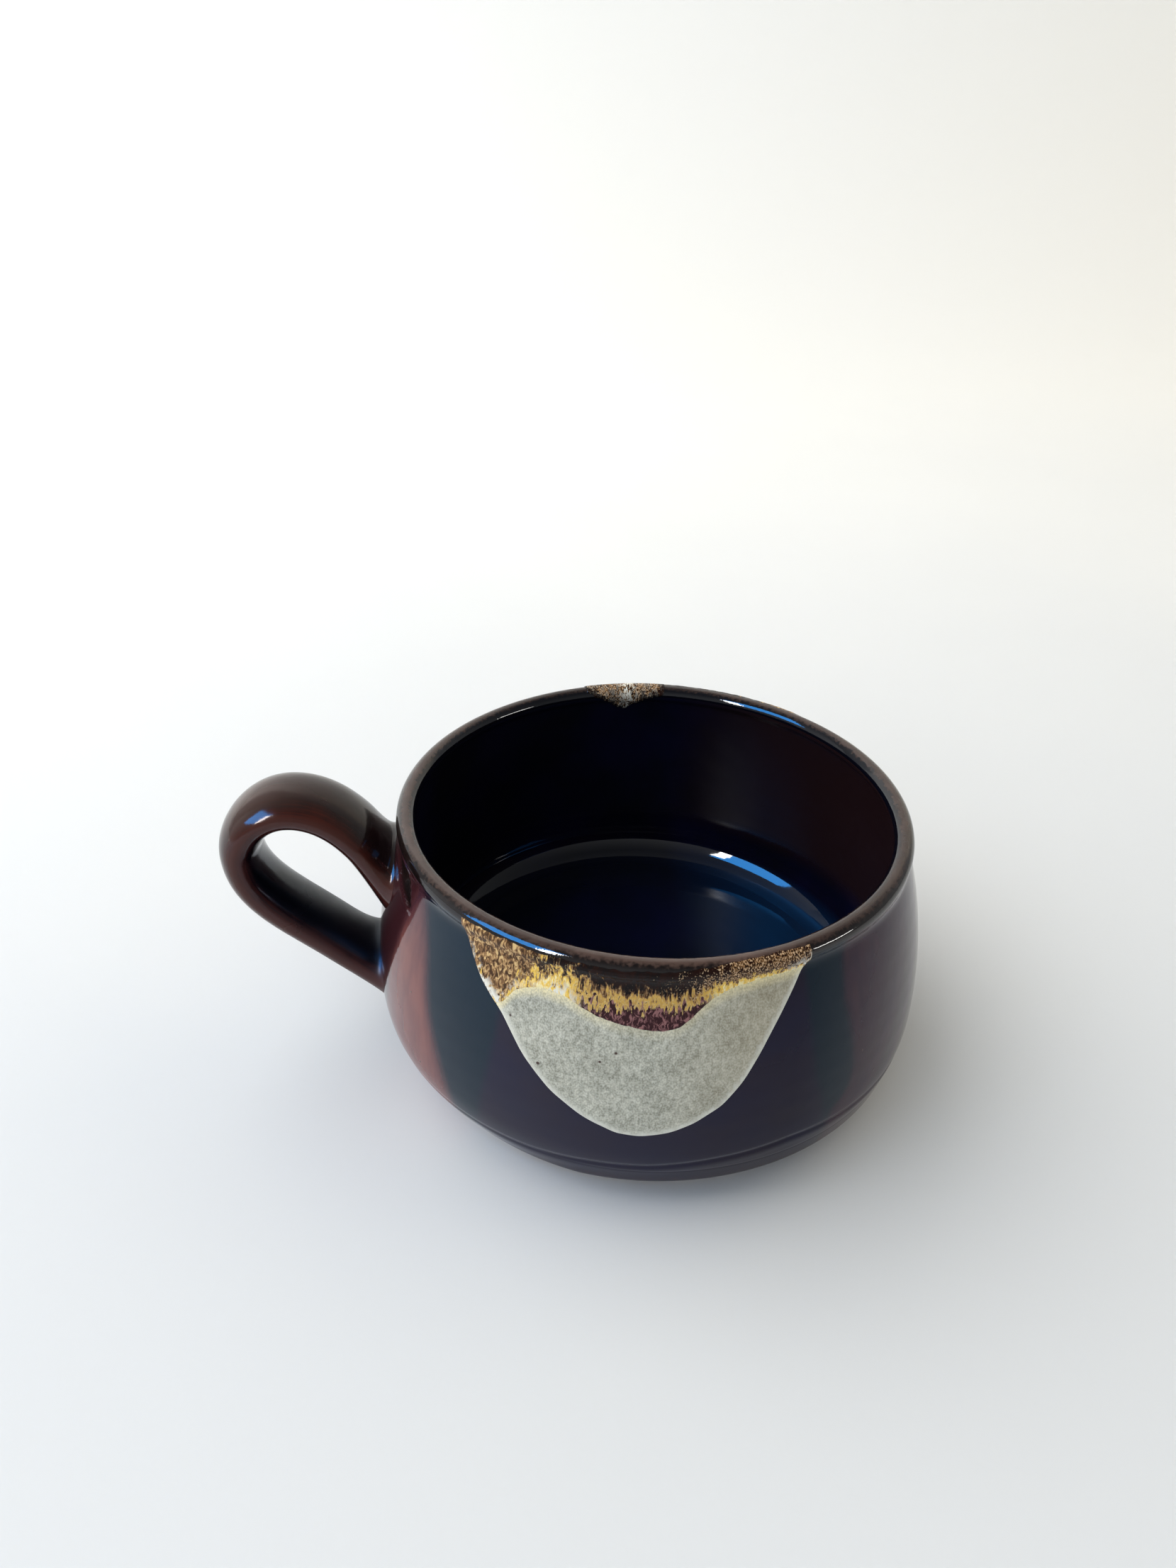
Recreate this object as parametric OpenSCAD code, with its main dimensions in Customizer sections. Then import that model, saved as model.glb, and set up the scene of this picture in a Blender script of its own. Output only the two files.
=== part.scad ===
// Soup mug: a wheel-thrown stoneware bowl with a pulled strap handle and layered glazes.
// Millimetres, +Z up. The origin is the centre of the foot on the table, and the handle points to -X.

/* [Bowl] */
// Outside diameter of the rounded rim
rim_d = 114; // [100:1:130]
// Height of the bowl from the table to the top of the rim
bowl_h = 61; // [54:1:72]
// Thickness of the rounded rim
rim_t = 4.4; // [3.8:0.1:5.4]
// How far the neck is drawn in under the rim
neck_tuck = 0.9; // [0.5:0.1:1.6]
// Radius of the soft hollow between the rim and the side
neck_r = 4; // [3:0.5:6]
// How far the belly stands out beyond the rim
belly_swell = 6; // [4.5:0.5:9]
// Height of the widest line of the belly
belly_z = 19; // [17:0.5:23]
// Radius of the belly curve below its widest line
belly_r = 27; // [23:1:34]
// Height of the turned crease above the table
crease_z = 12.5; // [10:0.5:14]
// Wall thickness at the belly
wall_t = 4.6; // [4:0.1:6]
// Height of the inside floor above the table
floor_z = 6; // [5:0.5:8]
// Radius of the curve between the inside floor and the wall
floor_r = 9; // [7:0.5:11]

/* [Foot] */
// How far the foot is drawn in from the belly
foot_in = 8.5; // [7:0.5:11]
// Width of the bare ring that the mug stands on
foot_ring_w = 7; // [5:0.5:12]
// Depth of the turned recess under the base
recess_h = 1.5; // [0.8:0.1:2.5]

/* [Handle] */
// Width of the pulled strap
strap_w = 17.6; // [14:0.2:20]
// Thickness of the pulled strap
strap_t = 8.2; // [6.6:0.2:9.4]
// Extra width of the strap where it meets the wall at the top
strap_flare = 4.5; // [2:0.5:7]
// Reach of the strap's middle line beyond the belly
loop_reach = 28; // [25:0.5:36]
// Distance of the loop's highest point beyond the belly
loop_top_reach = 16.5; // [14:0.5:20]
// Height of the strap's middle line above the rim
loop_rise = 2.2; // [0:0.2:6]
// Drop of the outermost point below the top of the loop
loop_drop = 11; // [9:0.5:14]
// Drop of the upper joint's top edge below the rim
upper_joint_drop = 8; // [7:0.5:10]
// Height of the lower joint's bottom edge above the crease
lower_joint_lift = 0.5; // [0.4:0.1:3]
// Height at which the strap's middle line runs into the wall
loop_end_z = 16; // [14.5:0.5:19]
// Rise of the strap as it leaves the upper joint, in degrees
upper_angle = 64; // [55:1:70]
// Rise of the strap as it leaves the lower joint, in degrees
lower_angle = 56; // [48:1:60]
// Width of the upper joint on the wall
upper_joint_w = 24; // [22:0.5:28]
// Height of the upper joint on the wall
upper_joint_h = 15; // [13:0.5:17]
// Width of the lower joint on the wall
lower_joint_w = 22; // [20:0.5:26]
// Height of the lower joint on the wall
lower_joint_h = 12.4; // [11:0.2:15]

/* [Glaze] */
// Thickness of the fired glaze
glaze_t = 0.4; // [0.3:0.05:0.6]
// Height of the bare clay left above the table
bare_foot_h = 1.2; // [0.6:0.1:3]
// Lean of the dipping line from upright, in degrees
dip_lean = 24; // [18:1:28]
// Direction of the front pale half-moon, in degrees round from +X
front_moon_turn = 260; // [245:1:275]
// Depth of the front half-moon below the top of the rim
front_moon_drop = 37.5; // [31:0.5:41]
// Direction of the back pale half-moon, in degrees round from +X
back_moon_turn = 70; // [62:1:80]
// Depth of the back half-moon below the top of the rim
back_moon_drop = 29; // [25:0.5:35]
// Depth of the golden run below the top of the rim
run_depth = 7.5; // [6:0.5:10]
// Depth of the sag in the middle of the golden run
sag_depth = 13.5; // [11.5:0.5:16]
// Radius of the sag's rounded edge
sag_r = 18; // [14:1:22]
// Sideways shift of the sag from the middle of the half-moon
sag_shift = 2; // [-4:0.5:4]
// Width at the rim of the pale tongue that crosses the back lip
tongue_w = 12; // [8:0.5:16]
// Length of the tongue below the top of the rim
tongue_h = 9; // [6:0.5:12]
// Turn of the tongue from the middle of the back half-moon, in degrees
tongue_turn = 20; // [12:1:22]

/* [Hidden] */
$fn = 180;
side_fn = 720;

// Colours of the clay and of the glazes
clay_colour = "#b89f7f";
slip_colour = "#a58c6d";
dark_colour = "#20161a";
liner_colour = "#0e0c12";
rim_colour = "#54463f";
handle_colour = "#40201a";
pale_colour = "#b6b5ab";
run_colour = "#8c5c22";

// Room for flat facets to lie on a curved wall without biting into it
seat_gap = 0.05;
// Small step at which a filling curve ends on its neighbours
curve_step = 0.05;
// Direction from the middle of the bead to the place where the inside wall meets it, in degrees
lip_angle = 235;
// Derived curves are rounded to this, so that neighbours meet exactly
grid = 0.001;
// Outside of the bowl: rim bead, neck hollow, side arc, belly arc and turned bevel
belly = rim_d / 2 + belly_swell;
belly_d = 2 * belly;
foot = belly - foot_in;
bead_r = rim_t / 2;
bead_c = [rim_d / 2 - bead_r, bowl_h - bead_r];
side_h = bowl_h - rim_t - belly_z;
side_in = belly_swell + neck_tuck;
side_r = rounded((side_h * side_h + side_in * side_in) / (2 * side_in));
side_c = [belly - side_r, belly_z];
low_c = [belly - belly_r, belly_z];
crease = low_c.x + sqrt(pow(belly_r, 2) - pow(belly_z - crease_z, 2));
bevel_angle = atan2(crease - foot, crease_z);
neck_c = lower_crossing(bead_c, bead_r + neck_r, side_c, side_r + neck_r);
// A length that reaches past the whole mug
far = 2 * belly_d;

// Inside of the bowl: floor, floor curve, belly arc, and side arc up to the underside of the bead
inner_low_r = belly_r - wall_t;
lip = bead_c + bead_r * [cos(lip_angle), sin(lip_angle)];
inner_in = belly - wall_t - lip.x;
inner_h = lip.y - belly_z;
inner_side_r = rounded((inner_h * inner_h + inner_in * inner_in) / (2 * inner_in));
inner_side_c = [belly - wall_t - inner_side_r, belly_z];
floor_rise = belly_z - floor_z - floor_r;
floor_c = low_c + [rounded(sqrt(pow(inner_low_r - floor_r, 2) - pow(floor_rise, 2))), -floor_rise];
floor_way = (floor_c - low_c) / norm(floor_c - low_c);

// Middle line of the strap as three curves: up from the wall, over the top, and down to the wall.
// Points are [distance from the axis, height]. The shares of a curve's span set how round it is.
upper_z = bowl_h - upper_joint_drop - upper_joint_h / 2;
lower_z = crease_z + lower_joint_lift + lower_joint_h / 2;
top_shares = [0.29, 0.38];
out_shares = [0.41, 0.31];
low_shares = [0.32, 0.43];
loop_start = [wall_r(upper_z, 0), upper_z];
loop_top = [belly + loop_top_reach, bowl_h + loop_rise];
loop_out = [belly + loop_reach, loop_top.y - loop_drop];
loop_end = [wall_r(loop_end_z, 0), loop_end_z];
top_arms = norm(loop_top - loop_start) * top_shares;
out_arms = norm(loop_out - loop_top) * out_shares;
low_arms = norm(loop_end - loop_out) * low_shares;
loop = [
    [
        loop_start,
        loop_start + top_arms[0] * [cos(upper_angle), sin(upper_angle)],
        loop_top - [top_arms[1], 0],
        loop_top
    ],
    [loop_top, loop_top + [out_arms[0], 0], loop_out + [0, out_arms[1]], loop_out],
    [
        loop_out,
        loop_out - [0, low_arms[0]],
        loop_end + low_arms[1] * [cos(lower_angle), sin(lower_angle)],
        loop_end
    ]
];

// Where the strap ends and the joints begin, counted along the three curves
strap_from = 0.42;
strap_to = 2.74;
strap_rings = 36;
ring_sides = 28;
joint_rings = 7;
// Share of a joint's footprint where its flare turns onto the wall, and its height off the wall there
flare_share = 0.86;
flare_lift = 1.2;
// Shares of a joint's footprint at which its end follows the wall
end_shares = [1, 0.66, 0.33];

// A length on the grid
function rounded(length) = grid * round(length / grid);

// The lower of the two points at given distances from two centres
function lower_crossing(c0, r0, c1, r1) =
    let (
        d = norm(c1 - c0),
        u = (c1 - c0) / d,
        a = (r0 * r0 - r1 * r1 + d * d) / (2 * d)
    )
    c0 + a * u - sqrt(r0 * r0 - a * a) * [u.y, -u.x];

// Radius of the turned bevel at a height, for an outside drawn in by inset
function bevel_r(z, inset) = foot + z * tan(bevel_angle) - inset / cos(bevel_angle);

// Radius of the outside wall at a height, from the table up to the neck
function wall_r(z, inset) =
    z < belly_z
        ? min(bevel_r(z, inset), low_c.x + sqrt(pow(belly_r - inset, 2) - pow(belly_z - z, 2)))
        : side_c.x + sqrt(pow(side_r - inset, 2) - pow(z - belly_z, 2));

// Point and direction on a cubic curve
function curve_point(p, t) =
    pow(1 - t, 3) * p[0] + 3 * t * pow(1 - t, 2) * p[1] + 3 * t * t * (1 - t) * p[2] + pow(t, 3) * p[3];
function curve_way(p, t) =
    let (
        v = pow(1 - t, 2) * (p[1] - p[0]) + 2 * t * (1 - t) * (p[2] - p[1]) + t * t * (p[3] - p[2])
    )
    v / norm(v);
function loop_point(s) = let (k = min(floor(s), 2)) curve_point(loop[k], s - k);
function loop_way(s) = let (k = min(floor(s), 2)) curve_way(loop[k], s - k);

// Half width of the strap, which flares towards the upper joint
function strap_half_w(s) = strap_w / 2 + strap_flare / 2 * pow(max(0, 1 - s), 2);

// Oval ring of the strap, square to its middle line and grown by a coat
function strap_ring(s, coat) =
    let (c = loop_point(s), w = loop_way(s), half_w = strap_half_w(s) + coat, half_t = strap_t / 2 + coat)
    [
        for (i = [0:ring_sides - 1])
            let (a = 360 * i / ring_sides, lift = half_t * sin(a))
            [-(c.x - w.y * lift), half_w * cos(a), c.y + w.x * lift]
    ];

// Oval ring of a joint on the wall: a footprint is [middle height, half width, half height, up or down]
upper_print = [upper_z, upper_joint_w / 2, upper_joint_h / 2, 1];
lower_print = [lower_z, lower_joint_w / 2, lower_joint_h / 2, -1];
function wall_ring(print, share, coat, inset, lift) =
    [
        for (i = [0:ring_sides - 1])
            let (
                a = 360 * i / ring_sides,
                y = share * (print[1] + coat) * cos(a),
                z = print[0] + share * (print[2] + coat) * print[3] * sin(a)
            )
            [-sqrt(pow(wall_r(z, inset) + seat_gap, 2) - y * y) - lift, y, z]
    ];

// Rings of a joint's flare, from the strap's end at s to its footprint on the glazed wall
function joint_flare(print, s, coat) =
    let (
        way = loop_way(s) * print[3],
        from = strap_ring(s, coat),
        to = wall_ring(print, 1, coat, 0, 0),
        turn = wall_ring(print, flare_share, coat, 0, flare_lift),
        arm = norm(loop_point(s) - [wall_r(print[0], 0), print[0]]) / 3,
        step = arm * [way.x, 0, -way.y]
    )
    [
        for (j = [0:joint_rings])
            [
                for (i = [0:ring_sides - 1])
                    curve_point([from[i], from[i] + step, turn[i], to[i]], j / joint_rings)
            ]
    ];

// Rings of the strap between its two joints
function strap_run(coat) =
    [
        for (k = [0:strap_rings])
            strap_ring(strap_from + (strap_to - strap_from) * k / strap_rings, coat)
    ];

// Rings of the whole handle from the upper wall round to the lower wall, grown by a coat
function glaze_rings(coat) =
    let (
        up = joint_flare(upper_print, strap_from, coat),
        run = strap_run(coat),
        low = joint_flare(lower_print, strap_to, coat)
    )
    concat(
        reversed([for (k = [1:joint_rings]) up[k]]),
        run,
        [for (k = [1:joint_rings]) low[k]]
    );

// A list from its end to its start
function reversed(list) = [for (i = [len(list) - 1:-1:0]) list[i]];

// Middle point of a ring
function middle(ring) = [for (p = ring) 1] * ring / len(ring);

// Triangles between neighbouring rings, numbered from first
function skin(count, first, flip) =
    [
        for (k = [0:count - 2], i = [0:ring_sides - 1])
            let (
                j = (i + 1) % ring_sides,
                a = first + k * ring_sides + i,
                b = first + k * ring_sides + j,
                c = a + ring_sides,
                d = b + ring_sides
            )
            each flip ? [[a, d, b], [a, c, d]] : [[a, b, d], [a, d, c]]
    ];

// Solid through a row of rings, closed at each end by a fan to a point
module loft(rings, start, finish) {
    count = len(rings);
    size = count * ring_sides;
    points = [for (r = rings) each r, start, finish];
    caps = [
        for (i = [0:ring_sides - 1])
            let (j = (i + 1) % ring_sides)
            each [[j, i, size], [size - ring_sides + i, size - ring_sides + j, size + 1]]
    ];
    polyhedron(points, concat(skin(count, 0, false), caps), convexity = 6);
}

// Open sleeve between an outer and an inner row of rings
module sleeve(outer, inner) {
    count = len(outer);
    size = count * ring_sides;
    points = [for (r = concat(outer, inner)) each r];
    ends = [
        for (k = [0, count - 1], i = [0:ring_sides - 1])
            let (
                a = k * ring_sides + i,
                b = k * ring_sides + (i + 1) % ring_sides
            )
            each k == 0
                ? [[a, size + b, b], [a, size + a, size + b]]
                : [[a, b, size + b], [a, size + b, size + a]]
    ];
    polyhedron(points, concat(skin(count, 0, false), skin(count, size, true), ends), convexity = 8);
}

// Joint of the strap: a flare onto the glazed wall, then a plug through the glaze to the clay
module joint(print, s) {
    flare = joint_flare(print, s, 0);
    plug = [for (share = end_shares) wall_ring(print, share, 0, glaze_t, 0)];
    rings = concat(flare, plug);
    strap_end = middle(flare[0]);
    seat = [-wall_r(print[0], glaze_t) - seat_gap, 0, print[0]];
    if (print[3] > 0) loft(reversed(rings), seat, strap_end);
    else loft(rings, strap_end, seat);
}

// Solid outline of the outside, drawn in by inset: bevel and belly, side, and the neck under the bead
module outside(inset) {
    to_side = (side_c - neck_c) / norm(side_c - neck_c);
    intersection() {
        union() {
            translate(low_c) circle(belly_r - inset);
            square([low_c.x, belly_z]);
        }
        polygon([[0, 0], [bevel_r(0, inset), 0], [bevel_r(belly_z, inset), belly_z], [0, belly_z]]);
    }
    intersection() {
        translate(side_c) circle(side_r - inset, $fn = side_fn);
        translate([0, belly_z]) square([belly_d, bead_c.y - belly_z]);
    }
    difference() {
        polygon([bead_c, neck_c + (neck_r + wall_t / 3) * to_side, neck_c]);
        translate(neck_c) circle(neck_r + inset - curve_step);
    }
}

// Outline of the hollow inside, let out by outset: floor, floor curve, belly and side
module hollow(outset) {
    translate([0, floor_z - outset]) square([floor_c.x, belly_z - floor_z + outset]);
    translate(floor_c) circle(floor_r + outset - curve_step);
    intersection() {
        translate(low_c) circle(inner_low_r + outset);
        polygon([low_c, low_c + belly * floor_way, low_c + [belly, 0]]);
    }
    intersection() {
        translate(inner_side_c) circle(inner_side_r + outset, $fn = side_fn);
        translate([0, belly_z]) square([belly_d, bowl_h - belly_z]);
    }
}

// Cut face of the wall and its rounded rim, with the surfaces drawn in by inset
module section(inset) {
    difference() {
        outside(inset);
        hollow(inset);
    }
    translate(bead_c) circle(bead_r - inset);
}

// Glaze all over the clay, kept to the zone given by the children
module coat() {
    rotate_extrude() intersection() {
        difference() {
            section(0);
            section(glaze_t);
        }
        children();
    }
}

module outside_coat() {
    coat() difference() {
        translate([0, bare_foot_h]) square([belly_d, bead_c.y - bare_foot_h]);
        hollow(2 * glaze_t);
    }
}

module rim_coat() {
    coat() translate([0, bead_c.y]) square([belly_d, rim_t]);
}

module liner_coat() {
    coat() intersection() {
        hollow(2 * glaze_t);
        square([belly_d, bead_c.y]);
    }
}

// Side of the dipping line that went into the pale glaze
module dip(turn, drop) {
    low_z = bowl_h - drop;
    reach = wall_r(low_z, 0) * cos(dip_lean) + low_z * sin(dip_lean);
    rotate([0, -dip_lean, turn]) translate([reach, -far / 2, -far / 2]) cube(far);
}

// Zone under the rim where the dark glaze ran over the pale one
module run_zone(turn) {
    rotate([0, 0, turn]) rotate([90, 0, 90]) linear_extrude(belly_d) {
        translate([-belly, bowl_h - run_depth]) square([belly_d, bowl_h]);
        translate([sag_shift, bowl_h - sag_depth + sag_r]) circle(sag_r);
    }
}

// Wedge over the back lip that the pale tongue fills
module tongue() {
    rotate([0, 0, back_moon_turn + tongue_turn]) rotate([90, 0, 90]) linear_extrude(belly_d)
        polygon([[-tongue_w / 2, bowl_h], [0, bowl_h - tongue_h], [tongue_w / 2, bowl_h]]);
}

// Way through the outside glaze for a joint's plug
module joint_hole(print) {
    outline = [
        for (i = [0:ring_sides - 1])
            let (a = 360 * i / ring_sides)
            [(print[1] + seat_gap) * cos(a), print[0] + (print[2] + seat_gap) * sin(a)]
    ];
    rotate([90, 0, -90]) linear_extrude(belly_d) polygon(outline);
}

module thrown_bowl() {
    color(clay_colour) rotate_extrude() difference() {
        section(glaze_t);
        polygon([
            [0, -recess_h],
            [foot - foot_ring_w + recess_h, -recess_h],
            [foot - foot_ring_w - recess_h, recess_h],
            [0, recess_h]
        ]);
    }
}

module handle() {
    rings = strap_run(0);
    color(clay_colour) loft(rings, middle(rings[0]), middle(rings[strap_rings]));
}

module upper_joint() {
    color(slip_colour) joint(upper_print, strap_from);
}

module lower_joint() {
    color(slip_colour) joint(lower_print, strap_to);
}

module outer_glaze() {
    color(dark_colour) difference() {
        outside_coat();
        dip(front_moon_turn, front_moon_drop);
        dip(back_moon_turn, back_moon_drop);
        joint_hole(upper_print);
        joint_hole(lower_print);
    }
}

module rim_glaze() {
    color(rim_colour) difference() {
        rim_coat();
        tongue();
    }
}

module liner_glaze() {
    color(liner_colour) difference() {
        liner_coat();
        tongue();
    }
}

module handle_glaze() {
    outer = glaze_rings(glaze_t);
    inner = glaze_rings(0);
    color(handle_colour) sleeve(outer, inner);
}

module front_pale_glaze() {
    color(pale_colour) difference() {
        intersection() {
            outside_coat();
            dip(front_moon_turn, front_moon_drop);
        }
        run_zone(front_moon_turn);
    }
}

module front_rim_run() {
    color(run_colour) intersection() {
        outside_coat();
        dip(front_moon_turn, front_moon_drop);
        run_zone(front_moon_turn);
    }
}

module back_pale_glaze() {
    color(pale_colour) difference() {
        intersection() {
            outside_coat();
            dip(back_moon_turn, back_moon_drop);
        }
        run_zone(back_moon_turn);
    }
}

module back_rim_run() {
    color(run_colour) {
        intersection() {
            outside_coat();
            dip(back_moon_turn, back_moon_drop);
            run_zone(back_moon_turn);
        }
        intersection() {
            union() {
                rim_coat();
                liner_coat();
            }
            tongue();
        }
    }
}

thrown_bowl();
handle();
upper_joint();
lower_joint();
outer_glaze();
rim_glaze();
liner_glaze();
handle_glaze();
front_pale_glaze();
front_rim_run();
back_pale_glaze();
back_rim_run();
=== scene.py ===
"""Soup mug: the fired surface of a thrown stoneware bowl with a pulled strap handle and layered glazes."""

import math

import bpy
import numpy as np
from bpy.props import FloatProperty, FloatVectorProperty, IntProperty, PointerProperty
from mathutils import Matrix, Vector
from mathutils.kdtree import KDTree


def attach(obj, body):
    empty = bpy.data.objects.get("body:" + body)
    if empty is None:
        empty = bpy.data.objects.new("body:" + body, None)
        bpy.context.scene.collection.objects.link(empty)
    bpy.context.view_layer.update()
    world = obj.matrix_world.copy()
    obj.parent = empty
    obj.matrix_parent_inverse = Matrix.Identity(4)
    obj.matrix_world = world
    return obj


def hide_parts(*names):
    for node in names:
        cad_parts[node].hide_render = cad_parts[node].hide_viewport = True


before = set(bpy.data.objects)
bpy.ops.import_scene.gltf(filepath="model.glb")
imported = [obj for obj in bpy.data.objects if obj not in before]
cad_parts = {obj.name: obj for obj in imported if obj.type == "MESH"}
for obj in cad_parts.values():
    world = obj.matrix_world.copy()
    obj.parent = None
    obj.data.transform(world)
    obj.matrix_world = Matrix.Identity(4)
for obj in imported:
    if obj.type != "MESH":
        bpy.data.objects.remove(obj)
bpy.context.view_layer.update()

bl_info = {
    "name": "Soup Mug",
    "version": (1, 0, 0),
    "blender": (4, 5, 0),
    "location": "3D View > Sidebar > Soup Mug",
    "description": "Glazes, clay and studio stage for a wheel-thrown soup mug",
    "category": "Object",
}

MM = 0.001
TAU = 2.0 * math.pi


def length(name, default, description):
    """A length setting, stored in metres and given here in millimetres."""
    return FloatProperty(
        name=name,
        default=default * MM,
        description=description,
        unit="LENGTH",
        subtype="DISTANCE",
        precision=5,
    )


def turn_angle(name, default, description):
    """An angle setting, given here in degrees."""
    return FloatProperty(
        name=name, default=math.radians(default), description=description, unit="ROTATION", subtype="ANGLE"
    )


def colour(name, default, description):
    """A colour setting."""
    return FloatVectorProperty(
        name=name, default=default, description=description, subtype="COLOR", size=3, min=0.0, max=1.0
    )


def power(name, default, description):
    """A setting of a lamp's power, in watts."""
    return FloatProperty(name=name, default=default, description=description, unit="POWER", min=0.0)


class SoupMugBowl(bpy.types.PropertyGroup):
    """Sizes of the thrown bowl."""

    rim_d: length("Rim diameter", 114, "Outside diameter of the rounded rim")
    height: length("Height", 61, "Height from the table to the top of the rim")
    rim_t: length("Rim thickness", 4.4, "Thickness of the rounded rim")
    neck_tuck: length("Neck tuck", 0.9, "How far the neck is drawn in under the rim")
    neck_r: length("Neck radius", 4, "Radius of the soft hollow between the rim and the side")
    belly_swell: length("Belly swell", 6, "How far the belly stands out beyond the rim")
    belly_z: length("Belly height", 19, "Height of the widest line of the belly")
    belly_r: length("Belly radius", 27, "Radius of the belly curve below its widest line")
    crease_z: length("Crease height", 12.5, "Height of the turned crease")
    wall_t: length("Wall thickness", 4.6, "Wall thickness at the belly")
    floor_z: length("Floor height", 6, "Height of the inside floor")
    floor_r: length("Floor curve", 9, "Radius of the curve between the floor and the wall")
    foot_in: length("Foot inset", 8.5, "How far the foot is drawn in from the belly")
    knee_z: length("Knee height", 9.2, "Height of the knee between the turned band and the undercut foot")
    knee_out: length("Knee stand-out", 1.3, "How far the knee stands out from a straight bevel")
    groove: length("Groove", 0.2, "Depth of the groove above the turned band")
    pocket: length("Pocket", 0.4, "Depth of the pocket under the rim beside the upper joint")
    bare_foot: length("Bare foot", 1.2, "Height of the clay left bare above the table")
    ring_depth: length("Throwing rings", 0.006, "Depth of the throwing rings left by the fingers")
    out_of_round: length("Out of round", 0.14, "How far the hand-thrown wall wanders from a true circle")
    glaze_t: length("Glaze thickness", 0.4, "Thickness of the fired glaze")
    columns: IntProperty(name="Columns", default=400, min=64, description="Faces around the bowl")


class SoupMugHandle(bpy.types.PropertyGroup):
    """Sizes of the pulled strap and its joints."""

    strap_w: length("Strap width", 17.6, "Width of the pulled strap")
    strap_t: length("Strap thickness", 8.2, "Thickness of the pulled strap")
    strap_flare: length("Strap flare", 4.5, "Extra width of the strap at the upper wall")
    reach: length("Reach", 28, "Reach of the strap's middle line beyond the belly")
    top_reach: length("Top reach", 16.5, "Distance of the loop's highest point beyond the belly")
    rise: length("Rise", 2.2, "Height of the strap's middle line above the rim")
    drop: length("Drop", 11, "Drop of the outermost point below the top of the loop")
    upper_drop: length("Upper joint drop", 8, "Drop of the upper joint's top edge below the rim")
    upper_w: length("Upper joint width", 24, "Width of the upper joint on the wall")
    upper_h: length("Upper joint height", 15, "Height of the upper joint on the wall")
    lower_lift: length("Lower joint lift", 0.5, "Height of the lower joint's bottom edge above the crease")
    lower_w: length("Lower joint width", 22, "Width of the lower joint on the wall")
    lower_h: length("Lower joint height", 12.4, "Height of the lower joint on the wall")
    end_z: length("Loop end height", 16, "Height at which the strap's middle line runs into the wall")
    upper_angle: turn_angle("Upper angle", 64, "Rise of the strap as it leaves the upper joint")
    lower_angle: turn_angle("Lower angle", 56, "Rise of the strap as it leaves the lower joint")
    sides: IntProperty(name="Sides", default=72, min=16, description="Faces around the strap")


class SoupMugDip(bpy.types.PropertyGroup):
    """Sizes of the dipped half-moons and of the runs inside them."""

    front_turn: turn_angle("Front turn", 260, "Direction of the front half-moon round from +X")
    front_drop: length("Front drop", 37.7, "Depth of the front half-moon below the rim")
    back_turn: turn_angle("Back turn", 70, "Direction of the back half-moon round from +X")
    back_drop: length("Back drop", 29, "Depth of the back half-moon below the rim")
    pale_lift: length("Pale lift", 0.16, "Height of the pale glaze above the dark one")
    run_lift: length("Run lift", 0.3, "Height of the run above the dark glaze")
    edge_roll: length("Edge roll", 0.7, "Width over which a glaze layer rounds off at its edge")
    tongue_w: length("Tongue width", 22, "Width of the pale tongue where it crosses the back lip")
    tongue_h: length("Tongue length", 6.6, "Length of the tongue below the top of the rim")
    tongue_turn: turn_angle("Tongue turn", 20, "Turn of the tongue from the middle of the back half-moon")


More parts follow.
